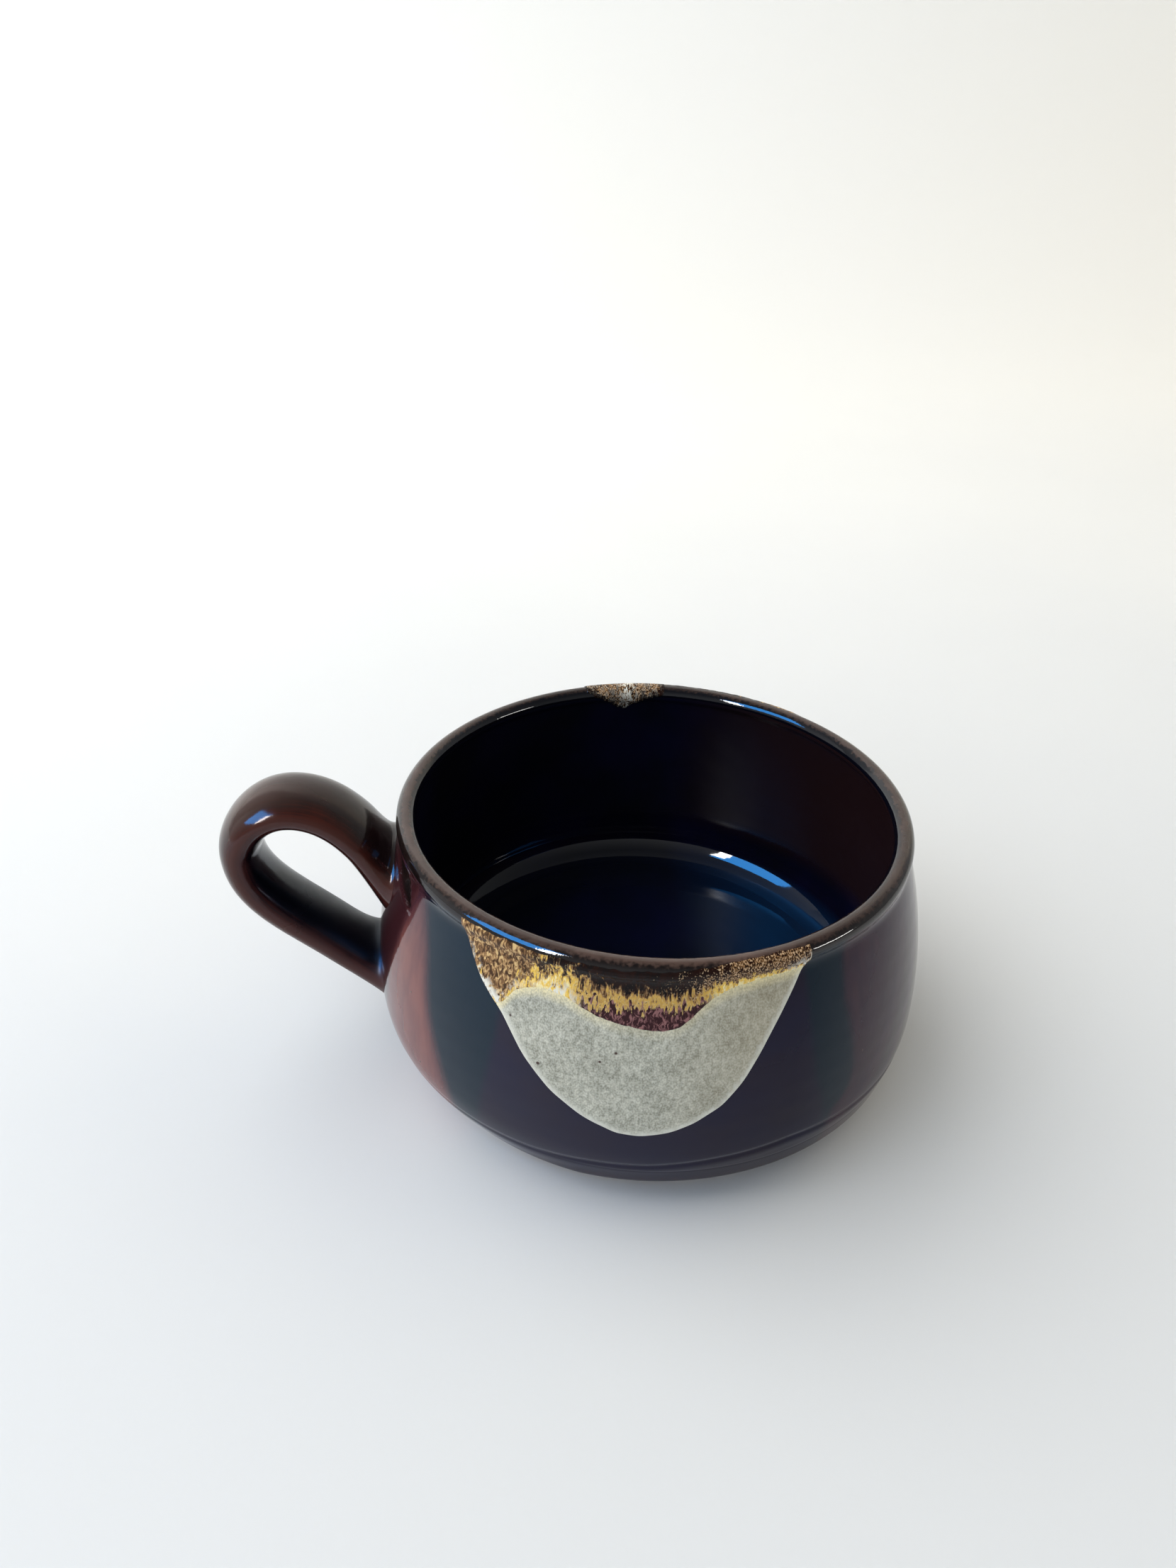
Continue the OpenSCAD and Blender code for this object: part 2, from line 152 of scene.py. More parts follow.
class SoupMugColours(bpy.types.PropertyGroup):
    """Fired colours of the clay and the glazes."""

    clay: colour("Clay", (0.38, 0.27, 0.17), "Buff stoneware")
    clay_toasted: colour("Toasted clay", (0.24, 0.13, 0.07), "Stoneware toasted by the fire")
    dark: colour("Dark", (0.0030, 0.0028, 0.0180), "Dark glaze where it is thick")
    dark_warm: colour("Dark, warm", (0.0075, 0.0040, 0.0125), "Dark glaze where it is thin")
    # Teal and rust are partly glaze colour and partly painted reflection: blue of the shaded floor, pink of
    # the lit floor
    teal_and_reflection: colour("Teal", (0.0005, 0.0060, 0.0150), "Dark glaze where two dips overlap")
    rust_and_reflection: colour("Rust", (0.190, 0.064, 0.056), "Thin glaze beside the handle")
    dark_broken: colour("Dark, broken", (0.060, 0.028, 0.018), "Dark glaze where it breaks over an edge")
    liner: colour("Liner", (0.0022, 0.0024, 0.0055), "Glaze inside the bowl")
    # Liner maroon and pool blue are painted on the lit right side only: partly glaze colour, partly painted
    # light
    liner_lit_maroon: colour("Liner, warm", (0.0130, 0.0050, 0.0055), "Glaze inside the bowl where it is thin")
    pool: colour("Pool", (0.0016, 0.0140, 0.0460), "Blue glaze pooled on the inside floor")
    rim: colour("Rim", (0.110, 0.066, 0.053), "Glaze broken over the rim")
    # Also painted as shade in the pocket beside the upper joint
    rim_dark: colour("Rim, dark", (0.0075, 0.0045, 0.0045), "Glaze on the shoulder of the rim")
    handle: colour("Handle", (0.0080, 0.0045, 0.0052), "Glaze on the faces of the strap")
    # Brown of the specks in the handle glaze, also used as a painted sheen on the outer bend of the strap
    handle_speck_and_sheen: colour("Handle bloom", (0.062, 0.033, 0.027), "Glaze on the outer bend of the strap")
    # Red-brown also painted as sheen on the outer face of the upper arm
    handle_edge: colour("Handle edge", (0.055, 0.012, 0.008), "Glaze broken on the edges of the strap")
    pale: colour("Pale", (0.66, 0.655, 0.56), "Pale glaze")
    pale_deep: colour("Pale, deep", (0.21, 0.208, 0.16), "Dark mottle in the pale glaze")
    # Darker, warmer pale on the right of a half-moon: partly glaze colour, partly painted shade of that side
    pale_toasted_and_shaded: colour("Pale, toasted", (0.33, 0.25, 0.12), "Pale glaze on the warm side of a half-moon")
    pale_edge: colour("Pale edge", (0.68, 0.68, 0.60), "Cream edge of the pale glaze")
    gold: colour("Gold", (0.86, 0.56, 0.10), "Golden needles of the run")
    straw: colour("Straw", (0.95, 0.82, 0.45), "Light ends of the golden needles")
    fleck: colour("Fleck", (0.80, 0.79, 0.72), "White flecks at the edge of the run")
    tan: colour("Tan", (0.33, 0.175, 0.075), "Tan fleck of the run")
    sand: colour("Sand", (0.60, 0.45, 0.30), "Sandy fleck at the end of the run")
    mauve: colour("Mauve", (0.28, 0.13, 0.13), "Mauve crystals under the gold")
    maroon: colour("Maroon", (0.035, 0.010, 0.013), "Maroon ground of the run")
    chocolate: colour("Chocolate", (0.016, 0.0052, 0.0036), "Brown ground under the rim")


class SoupMugStage(bpy.types.PropertyGroup):
    """Studio light and floor."""

    # The floor colour is darker and cooler than the backdrop, blended along the floor as a painted fall-off
    # of the light
    floor: colour("Floor", (0.72, 0.745, 0.78), "Pale floor near the mug")
    backdrop: colour("Backdrop", (0.93, 0.94, 0.94), "Pale backdrop")
    sky: FloatProperty(name="Sky", default=1.1, min=0.0, description="Strength of the even light all round")
    key: power("Key", 19.0, "Power of the key light, of which each fill has a share")
    window: power("Window", 32.0, "Power of which each window has a share")


class SoupMugSettings(bpy.types.PropertyGroup):
    """All settings of the soup mug."""

    bowl: PointerProperty(type=SoupMugBowl, name="Bowl", description="Sizes of the bowl")
    handle: PointerProperty(type=SoupMugHandle, name="Handle", description="Sizes of the handle")
    dip: PointerProperty(type=SoupMugDip, name="Dip", description="Sizes of the dipped glazes")
    colours: PointerProperty(type=SoupMugColours, name="Colours", description="Fired colours")
    stage: PointerProperty(type=SoupMugStage, name="Stage", description="Studio")


# Spacing of the points of a section line
SECTION_STEP = 0.1 * MM
# Seeds of the wanders: roundness, foot edge, tongue, front dip and back dip
ROUND_SEED, FOOT_SEED, TONGUE_SEED, FRONT_SEED, BACK_SEED = 4, 12, 21, 31, 47


def climb(value, start, width):
    """Nought up to a start, one from a width beyond it and even in between."""
    return np.clip((value - start) / width, 0.0, 1.0)


def bell(value, middle, width):
    """One at a middle, fading to nought on both sides."""
    return np.exp(-(((value - middle) / width) ** 2))


def wander(turn, seed, waves=(2, 3, 5, 8, 13), fade=0.8):
    """A slow closed wander round the pot, between about -1 and 1."""
    phases = np.random.default_rng(seed).uniform(0.0, TAU, len(waves))
    shares = fade ** np.arange(len(waves))
    total = sum(a * np.sin(k * turn + p) for a, k, p in zip(shares, waves, phases))
    return total / shares.sum()


def around(turn, table):
    """A value from a table of degrees round from +X."""
    return np.interp(np.degrees(turn) % 360.0, *table)


def arc(centre, radius, start, end):
    """Evenly spaced points of an arc in the section plane."""
    a = np.linspace(start, end, max(4, int(abs(end - start) * radius / SECTION_STEP)))
    return np.column_stack([centre[0] + radius * np.cos(a), centre[1] + radius * np.sin(a)])


def line(start, end):
    """Evenly spaced points of a straight line in the section plane."""
    start, end = np.array(start), np.array(end)
    t = np.linspace(0.0, 1.0, max(4, int(np.linalg.norm(end - start) / SECTION_STEP)))[:, None]
    return start + t * (end - start)


def heading(start, end):
    """Direction from one point of the section plane to another."""
    return math.atan2(end[1] - start[1], end[0] - start[0])


# Height of the groove in millimetres and share of the knee's stand-out, by degrees round from +X
GROOVE_Z = [
    (0, 40, 120, 200, 240, 252, 263, 275, 290, 303, 325, 360),
    (13.4, 12.8, 13.5, 12.6, 12.8, 13.8, 14.3, 15.8, 17.0, 16.0, 14.6, 13.4),
]
KNEE_SHARE = [(0, 60, 205, 228, 250, 320, 360), (0.9, 0.6, 0.2, 0.2, 1.0, 1.0, 0.9)]
# Width of the groove, and share, drop and width of the low swell below it
GROOVE_WIDTH, SWELL_SHARE, SWELL_DROP, SWELL_WIDTH = 0.65 * MM, 0.3, 1.6 * MM, 1.0 * MM
# Spacing of the throwing rings
RING_PITCH = 5.3 * MM
# Lower and upper edge of the pocket beside the upper joint: degrees round from +X, heights in millimetres
POCKET_LOW = [(188.4, 191.9, 194.7, 197.4, 200.6, 203.4), (54.9, 53.9, 52.7, 51.5, 50.6, 50.0)]
POCKET_HIGH = [(188.4, 193.9, 197.0, 199.7, 201.7, 203.4), (54.9, 55.2, 55.4, 54.8, 52.5, 50.0)]
# Width over which the pocket sinks, and drop and width of the lip below it, in millimetres
POCKET_SOFT, LIP_DROP, LIP_WIDTH = 0.6, 0.7, 0.55
# Height of the lip as a share of the pocket's depth
LIP_SHARE = 0.6
# Rows of faces over the rim
RIM_ROWS = 40


def joint_pocket(turn, z):
    """Shares of the pocket that was left beside the upper joint, and of the lip along its lower edge."""
    low, high = around(turn, POCKET_LOW), around(turn, POCKET_HIGH)
    there = climb(high - low, 0.0, POCKET_SOFT)
    above, below = z / MM - low, high - z / MM
    sunk = there * climb(above, -POCKET_SOFT / 2, POCKET_SOFT) * climb(below, -POCKET_SOFT / 2, POCKET_SOFT)
    return sunk, there * bell(above, -LIP_DROP, LIP_WIDTH)


class Wall:
    """Section line of the glazed wall, from the foot over the rim to the middle of the inside floor."""

    def __init__(self, bowl):
        self.bowl = bowl
        belly = bowl.rim_d / 2 + bowl.belly_swell
        self.belly = belly
        self.foot = belly - bowl.foot_in
        bead_r = bowl.rim_t / 2
        bead = np.array([bowl.rim_d / 2 - bead_r, bowl.height - bead_r])
        side_h = bowl.height - bowl.rim_t - bowl.belly_z
        side_in = bowl.belly_swell + bowl.neck_tuck
        self.side_r = (side_h**2 + side_in**2) / (2 * side_in)
        self.side = np.array([belly - self.side_r, bowl.belly_z])
        self.low = np.array([belly - bowl.belly_r, bowl.belly_z])
        low_angle = -math.asin((bowl.belly_z - bowl.crease_z) / bowl.belly_r)
        self.crease = self.low[0] + bowl.belly_r * math.cos(low_angle)
        neck = self.lower_crossing(bead, bead_r + bowl.neck_r, self.side, self.side_r + bowl.neck_r)
        lip_angle = math.radians(235)
        lip = bead + bead_r * np.array([math.cos(lip_angle), math.sin(lip_angle)])
        inner_in = belly - bowl.wall_t - lip[0]
        inner_h = lip[1] - bowl.belly_z
        inner_r = (inner_h**2 + inner_in**2) / (2 * inner_in)
        inner = np.array([belly - bowl.wall_t - inner_r, bowl.belly_z])
        inner_low_r = bowl.belly_r - bowl.wall_t
        rise = bowl.belly_z - bowl.floor_z - bowl.floor_r
        curve = self.low + np.array([math.sqrt((inner_low_r - bowl.floor_r) ** 2 - rise**2), -rise])
        floor_angle = heading(self.low, curve)
        to_side = heading(neck, self.side) % TAU
        outside = [
            line((self.foot, 0.0), (self.crease, bowl.crease_z)),
            arc(self.low, bowl.belly_r, low_angle, 0.0),
            arc(self.side, self.side_r, 0.0, heading(self.side, neck)),
            arc(neck, bowl.neck_r, to_side, heading(neck, bead) % TAU),
            arc(bead, bead_r, heading(bead, neck), 0.0),
        ]
        top = arc(bead, bead_r, 0.0, math.pi)
        inside = [
            arc(bead, bead_r, math.pi, lip_angle),
            arc(inner, inner_r, math.asin(inner_h / inner_r), 0.0),
            arc(self.low, inner_low_r, 0.0, floor_angle),
            arc(curve, bowl.floor_r, floor_angle, -math.pi / 2),
            line((curve[0], bowl.floor_z), (0.0, bowl.floor_z)),
        ]
        rough = np.vstack(outside + [top] + inside)
        steps = np.append(0.0, np.cumsum(np.linalg.norm(np.diff(rough, axis=0), axis=1)))
        marks = np.cumsum([sum(len(p) for p in outside), len(top)]) - 1
        self.rim_out, self.rim_in = steps[marks]
        self.end = steps[-1]
        self.set_line(rough, steps)

    @staticmethod
    def lower_crossing(c0, r0, c1, r1):
        """The lower of the two points at given distances from two centres."""
        d = np.linalg.norm(c1 - c0)
        u = (c1 - c0) / d
        a = (r0**2 - r1**2 + d**2) / (2 * d)
        return c0 + a * u - math.sqrt(r0**2 - a**2) * np.array([u[1], -u[0]])

    def set_line(self, rough, steps, soft=0.35 * MM):
        """Space the line evenly and soften its corners as a wet sponge does."""
        s = np.arange(0.0, self.end, SECTION_STEP)
        reach = int(3 * soft / SECTION_STEP)
        weights = np.exp(-0.5 * (np.arange(-reach, reach + 1) * SECTION_STEP / soft) ** 2)
        weights /= weights.sum()
        spaced = [np.interp(s, steps, rough[:, k]) for k in (0, 1)]
        padded = [np.pad(v, reach, mode="reflect", reflect_type="odd") for v in spaced]
        self.s = s
        self.r, self.z = (np.convolve(v, weights, mode="valid") for v in padded)
        self.r = np.maximum(self.r, 0.0)
        slope_r, slope_z = np.gradient(self.r, SECTION_STEP), np.gradient(self.z, SECTION_STEP)
        size = np.hypot(slope_r, slope_z)
        self.out_r, self.out_z = slope_z / size, -slope_r / size

    def at(self, s):
        """Radius, height and outward direction at lengths along the line."""
        return [np.interp(s, self.s, v) for v in (self.r, self.z, self.out_r, self.out_z)]

    def surface(self, turn, s, lift=0.0):
        """Points of the hand-thrown surface at directions and lengths, raised by lift."""
        bowl = self.bowl
        r, z, out_r, out_z = self.at(s)
        high = z / bowl.height
        round_off = bowl.out_of_round * np.minimum(r / self.foot, 1.0) * (0.3 + 0.7 * high)
        rings = bowl.ring_depth * np.sin(TAU * s / RING_PITCH + 1.2 * np.sin(turn + 0.7))
        rings = rings * climb(z, bowl.crease_z, 8 * MM) * climb(bowl.height - z, 0.0, 9 * MM)
        lift = lift + rings + round_off * wander(turn, ROUND_SEED, (2, 3, 5))
        outside = s < self.rim_out
        knee = np.interp(z, (0.0, bowl.knee_z, bowl.crease_z), (0.0, bowl.knee_out, 0.0)) * outside
        lift = lift + knee * around(turn, KNEE_SHARE)
        above = z - around(turn, GROOVE_Z) * MM
        dent = bell(above, 0.0, GROOVE_WIDTH) - SWELL_SHARE * bell(above, -SWELL_DROP, SWELL_WIDTH)
        lift = lift - bowl.groove * dent * outside
        sunk, lip = joint_pocket(turn, z)
        lift = lift + bowl.pocket * (LIP_SHARE * lip - sunk) * outside
        r = np.maximum(r + out_r * lift, 0.0)
        z = z + out_z * lift
        return np.stack([r * np.cos(turn), r * np.sin(turn), z], axis=-1)

    def radius(self, z):
        """Radius of the true outside at a height below the neck."""
        bowl = self.bowl
        bevel = self.foot + z / bowl.crease_z * (self.crease - self.foot)
        belly = self.low[0] + np.sqrt(bowl.belly_r**2 - (bowl.belly_z - np.minimum(z, bowl.belly_z)) ** 2)
        side = self.side[0] + np.sqrt(self.side_r**2 - (z - bowl.belly_z) ** 2)
        return np.where(z < bowl.belly_z, np.minimum(bevel, belly), side)

    def outside_s(self, z):
        """Length along the outside at a height."""
        keep = self.s <= self.rim_out
        return np.interp(z, self.z[keep], self.s[keep])


def make_piece(name, points, closed=False, uv=None, values=None):
    """Mesh object over a grid of points [rows, columns, 3], with per-point values for its material."""
    rows, cols = points.shape[:2]
    index = np.arange(rows * cols).reshape(rows, cols)
    right = np.roll(index, -1, axis=1) if closed else index[:, 1:]
    left = index if closed else index[:, :-1]
    faces = np.stack([left[:-1], right[:-1], right[1:], left[1:]], axis=-1).reshape(-1, 4)
    mesh = bpy.data.meshes.new(name)
    mesh.from_pydata(points.reshape(-1, 3).tolist(), [], faces.tolist())
    mesh.polygons.foreach_set("use_smooth", np.ones(len(mesh.polygons), dtype=bool))
    for key, value in (values or {}).items():
        layer = mesh.attributes.new(key, "FLOAT", "POINT")
        layer.data.foreach_set("value", np.broadcast_to(value, (rows, cols)).astype(np.float32).ravel())
    if uv is not None:
        corner = np.empty(len(mesh.loops), dtype=np.int32)
        mesh.loops.foreach_get("vertex_index", corner)
        unrolled = uv.reshape(-1, 2)[corner].astype(np.float32)
        mesh.uv_layers.new(name="glaze").data.foreach_set("uv", unrolled.ravel())
    mesh.update()
    piece = bpy.data.objects.new(name, mesh)
    bpy.context.scene.collection.objects.link(piece)
    return piece


def join_pieces(name, pieces):
    """Several pieces as one object."""
    with bpy.context.temp_override(active_object=pieces[0], selected_editable_objects=pieces):
        bpy.ops.object.join()
    pieces[0].name = name
    return pieces[0]


def hand_in(piece, material, slot, *nodes):
    """Give a piece its material and its place on the mug."""
    piece.data.materials.clear()
    piece.data.materials.append(material)
    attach(piece, "root")
    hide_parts(*nodes)


def set_range(node, *bounds):
    """Set both ends of what a range node takes in and of what it gives."""
    for key, bound in zip(("From Min", "From Max", "To Min", "To Max"), bounds):
        node.inputs[key].default_value = bound


class Paint:
    """A node material, built up step by step."""

    def __init__(self, name):
        self.material = bpy.data.materials.new(name)
        self.material.use_nodes = True
        self.tree = self.material.node_tree
        self.tree.nodes.clear()
        self.skin = self.tree.nodes.new("ShaderNodeBsdfPrincipled")
        end = self.tree.nodes.new("ShaderNodeOutputMaterial")
        self.tree.links.new(self.skin.outputs["BSDF"], end.inputs["Surface"])
        self.place = self.tree.nodes.new("ShaderNodeTexCoord").outputs["Object"]

    def put(self, kind, **inputs):
        """Add a node, setting or linking its inputs by name."""
        node = self.tree.nodes.new(kind)
        for key, value in inputs.items():
            self.feed(node.inputs[key.replace("_", " ")], value)
        return node

    def feed(self, socket, value):
        """Link an output to a socket, or set the socket's own value."""
        if isinstance(value, bpy.types.NodeSocket):
            self.tree.links.new(value, socket)
        elif socket.type == "RGBA" and len(value) == 3:
            socket.default_value = (*value, 1.0)
        else:
            socket.default_value = value

    def stretched(self, sizes, base=None):
        """Coordinates divided by the size of the grain, one for all axes or one along each."""
        scale = [1.0 / float(size) for size in np.broadcast_to(sizes, 3)]
        return self.put("ShaderNodeMapping", Vector=base or self.place, Scale=scale).outputs["Vector"]

    def noise(self, sizes, detail=3.0, base=None, warp=0.0):
        """Even noise with the given grain sizes in metres."""
        node = self.put("ShaderNodeTexNoise", Vector=self.stretched(sizes, base), Scale=1.0, Detail=detail)
        self.feed(node.inputs["Distortion"], warp)
        return node.outputs["Fac"]

    def specks(self, size, reach):
        """Small round specks: one inside a speck and nought outside."""
        node = self.put("ShaderNodeTexVoronoi", Vector=self.stretched(size), Scale=1.0)
        return self.span(node.outputs["Distance"], reach, reach * 0.6)

    def value(self, name):
        """A per-point value of the mesh."""
        node = self.put("ShaderNodeAttribute")
        node.attribute_name = name
        return node.outputs["Fac"]

    def flat(self):
        """The unrolled coordinates of a glaze patch, in metres."""
        node = self.put("ShaderNodeUVMap")
        node.uv_map = "glaze"
        return node.outputs["UV"]

    def span(self, value, low, high, to_low=0.0, to_high=1.0):
        """A value taken from one range to another, with soft ends."""
        node = self.put("ShaderNodeMapRange", Value=value)
        node.interpolation_type = "SMOOTHSTEP"
        set_range(node, low, high, to_low, to_high)
        return node.outputs["Result"]

    def combine(self, first, second, operation="ADD"):
        """Two values put together by an operation."""
        node = self.tree.nodes.new("ShaderNodeMath")
        node.operation = operation
        self.feed(node.inputs[0], first)
        self.feed(node.inputs[1], second)
        return node.outputs["Value"]

    def blend(self, share, first, second):
        """A colour between two colours."""
        node = self.tree.nodes.new("ShaderNodeMix")
        node.data_type = "RGBA"
        self.feed(node.inputs["Factor"], share)
        self.feed(node.inputs[6], first)
        self.feed(node.inputs[7], second)
        return node.outputs[2]

    def between(self, share, first, second):
        """A number between two numbers."""
        node = self.tree.nodes.new("ShaderNodeMix")
        self.feed(node.inputs[0], share)
        self.feed(node.inputs[2], first)
        self.feed(node.inputs[3], second)
        return node.outputs[0]

    def ramp(self, value, stops):
        """A colour from a row of stops."""
        node = self.put("ShaderNodeValToRGB", Fac=value)
        band = node.color_ramp
        while len(band.elements) < len(stops):
            band.elements.new(0.5)
        for element, (place, shade) in zip(band.elements, stops):
            element.position = place
            element.color = (*shade, 1.0)
        return node.outputs["Color"]

    def bump(self, height, depth, under=None):
        """Raise the surface by a height value times a depth in metres."""
        node = self.put("ShaderNodeBump", Height=height, Distance=depth, Strength=1.0)
        if under is not None:
            self.feed(node.inputs["Normal"], under)
        return node.outputs["Normal"]

    def mirror(self, level):
        """Set the strength of the surface's mirror, or wire it."""
        self.feed(self.skin.inputs["Specular IOR Level"], level)

    def tint(self, shade):
        """Wire the colour of the surface's mirror."""
        self.feed(self.skin.inputs["Specular Tint"], shade)

    def finish(self, shade, gloss, normal):
        """Wire colour, roughness and relief to the surface."""
        for name, value in (("Base Color", shade), ("Roughness", gloss), ("Normal", normal)):
            self.feed(self.skin.inputs[name], value)
        return self.material


def clay_material(name, colours):
    """Toasted, speckled stoneware."""
    paint = Paint(name)
    cloud = paint.span(paint.noise(9 * MM, 5.0), 0.35, 0.7)
    grog = paint.specks(1.4 * MM, 0.3)
    shade = paint.blend(cloud, colours.clay, colours.clay_toasted)
    shade = paint.blend(grog, shade, (0.06, 0.035, 0.02))
    grain = paint.noise(0.5 * MM, 4.0)
    return paint.finish(shade, paint.span(grain, 0.3, 0.7, 0.75, 0.95), paint.bump(grain, 0.12 * MM))


def dark_material(name, colours):
    """Dark mirror glaze, brown where it is thin, teal where two dips overlap and rust beside the handle; the
    teal and rust are partly painted reflection of the floor, and the pocket beside the upper joint is
    painted near-black as shade.
    """
    paint = Paint(name)
    cloud = paint.span(paint.noise((22 * MM, 22 * MM, 14 * MM), 4.0), 0.35, 0.72)
    shade = paint.blend(cloud, colours.dark, colours.dark_warm)
    streak = paint.span(paint.noise((3 * MM, 3 * MM, 16 * MM), 3.0), 0.3, 0.7, 0.72, 1.0)
    # painted reflection: the rust and teal zones stand partly for the lit and the shaded floor mirrored in
    # the wall
    rust_and_reflection = paint.combine(paint.value("rust_and_reflection"), streak, "MULTIPLY")
    teal_and_reflection = paint.value("teal_and_reflection")
    deep = paint.value("deep")
    warm = paint.combine(rust_and_reflection, deep, "MAXIMUM")
    brown = paint.blend(deep, colours.rust_and_reflection, colours.maroon)
    shade = paint.blend(warm, paint.blend(teal_and_reflection, shade, colours.teal_and_reflection), brown)
    # painted shade: the pocket beside the upper joint is coloured near-black, standing for the shade and
    # dark reflection in the dent
    shade = paint.blend(paint.value("pocket"), shade, colours.rim_dark)
    # painted reflection: the mirror is tinted blue in the teal zone and pink in the rust zone
    sheen = paint.blend(teal_and_reflection, (0.84, 0.80, 1.0), (0.66, 0.86, 1.0))
    paint.tint(paint.blend(warm, sheen, (1.0, 0.94, 0.92)))
    thin = paint.combine(paint.value("thin"), paint.noise(1.6 * MM, 3.0), "MULTIPLY")
    shade = paint.blend(paint.span(thin, 0.1, 0.75), shade, colours.dark_broken)
    speck = paint.specks(6.5 * MM, 0.055)
    shade = paint.blend(speck, shade, colours.dark_broken)
    peel = paint.noise(2.6 * MM, 2.0)
    gloss = paint.span(paint.noise(7 * MM, 3.0), 0.3, 0.75, 0.035, 0.085)
    # painted light: the mirror is stronger on the lit left and weaker on the shaded right
    paint.mirror(paint.value("mirror"))
    return paint.finish(shade, gloss, paint.bump(peel, 0.018 * MM, paint.bump(speck, 0.03 * MM)))


def rim_material(name, colours):
    """Satin brown-grey where the glaze thins over the rim, partly a painted sheen of the light from above,
    dark on the shoulder.
    """
    paint = Paint(name)
    grain = paint.noise(0.9 * MM, 3.0)
    over = paint.combine(paint.value("over"), paint.span(grain, 0.25, 0.75, -0.07, 0.07))
    crest = paint.combine(paint.span(over, 0.24, 0.42), paint.span(over, 0.74, 0.58), "MULTIPLY")
    cloud = paint.span(paint.noise(6 * MM, 4.0), 0.35, 0.75, 0.65, 1.0)
    crest = paint.combine(crest, cloud, "MULTIPLY")
    # painted sheen: the crest's lighter colour is partly broken glaze and partly the light from above, set
    # by direction
    crest = paint.combine(crest, paint.value("bare"), "MULTIPLY")
    shade = paint.blend(paint.span(over, 0.56, 0.76), colours.rim_dark, colours.liner)
    shade = paint.blend(crest, shade, colours.rim)
    gloss = paint.span(crest, 0.0, 1.0, 0.06, 0.27)
    return paint.finish(shade, gloss, paint.bump(grain, 0.02 * MM))


def liner_material(name, colours):
    """Near-black liner with a blue cast, with a blue pool and a maroon tint painted on the right side only,
    where light falls in through the mouth: partly glaze colour, partly painted light.
    """
    paint = Paint(name)
    cloud = paint.span(paint.noise(25 * MM, 4.0), 0.35, 0.75)
    shade = paint.blend(cloud, colours.liner, colours.dark)
    # painted light: the maroon and the blue show only on the right side, where light falls in through the
    # mouth
    shade = paint.blend(paint.value("warm"), shade, colours.liner_lit_maroon)
    shade = paint.blend(paint.value("pool"), shade, colours.pool)
    peel = paint.noise(3.5 * MM, 2.0)
    gloss = paint.span(paint.noise(9 * MM, 3.0), 0.3, 0.75, 0.03, 0.075)
    low = paint.value("low")
    gloss = paint.combine(gloss, paint.span(low, 0.75, 0.1, 0.0, 0.3))
    paint.mirror(paint.span(low, 0.1, 0.75, 0.2, 0.5))
    return paint.finish(shade, gloss, paint.bump(peel, 0.014 * MM))


def handle_material(name, colours):
    """Dark glaze that breaks red-brown on the edges of the strap, with a painted brown sheen on the outer
    bend and upper arm and painted shade on the inner faces.
    """
    paint = Paint(name)
    cloud = paint.noise((5 * MM, 9 * MM, 5 * MM), 4.0)
    across, through, along = (paint.value(name) for name in ("across", "through", "along"))
    pulled = paint.put("ShaderNodeCombineXYZ", X=across, Y=through, Z=along).outputs["Vector"]
    streak = paint.noise((0.45 * MM, 0.45 * MM, 0.1), 3.0, pulled)
    thin = paint.combine(paint.value("thin"), paint.span(cloud, 0.25, 0.75, -0.1, 0.1))
    thin = paint.combine(thin, paint.span(streak, 0.3, 0.7, -0.09, 0.09))
    # the inner faces, turned to the wall, take the near-black liner colour: partly thicker glaze, partly
    # painted shade
    inner = paint.value("inner")
    # painted sheen: the outer bend of the strap is coloured brown where the light falls on it
    outer = paint.blend(paint.value("outer_sheen"), colours.handle, colours.handle_speck_and_sheen)
    face = paint.blend(inner, outer, colours.liner)
    shade = paint.blend(paint.span(thin, 0.25, 0.95), face, colours.handle_edge)
    speck = paint.specks(5 * MM, 0.07)
    shade = paint.blend(speck, shade, colours.handle_speck_and_sheen)
    peel = paint.noise((1.8 * MM, 3.0 * MM, 1.8 * MM), 2.0)
    gloss = paint.span(cloud, 0.3, 0.75, 0.1, 0.18)
    gloss = paint.combine(gloss, paint.span(along, 0.7, 0.86, 0.0, 0.24))
    paint.tint(paint.blend(inner, (1.0, 0.90, 0.85), (0.74, 0.85, 1.0)))
    paint.mirror(0.38)
    return paint.finish(shade, gloss, paint.bump(peel, 0.03 * MM))


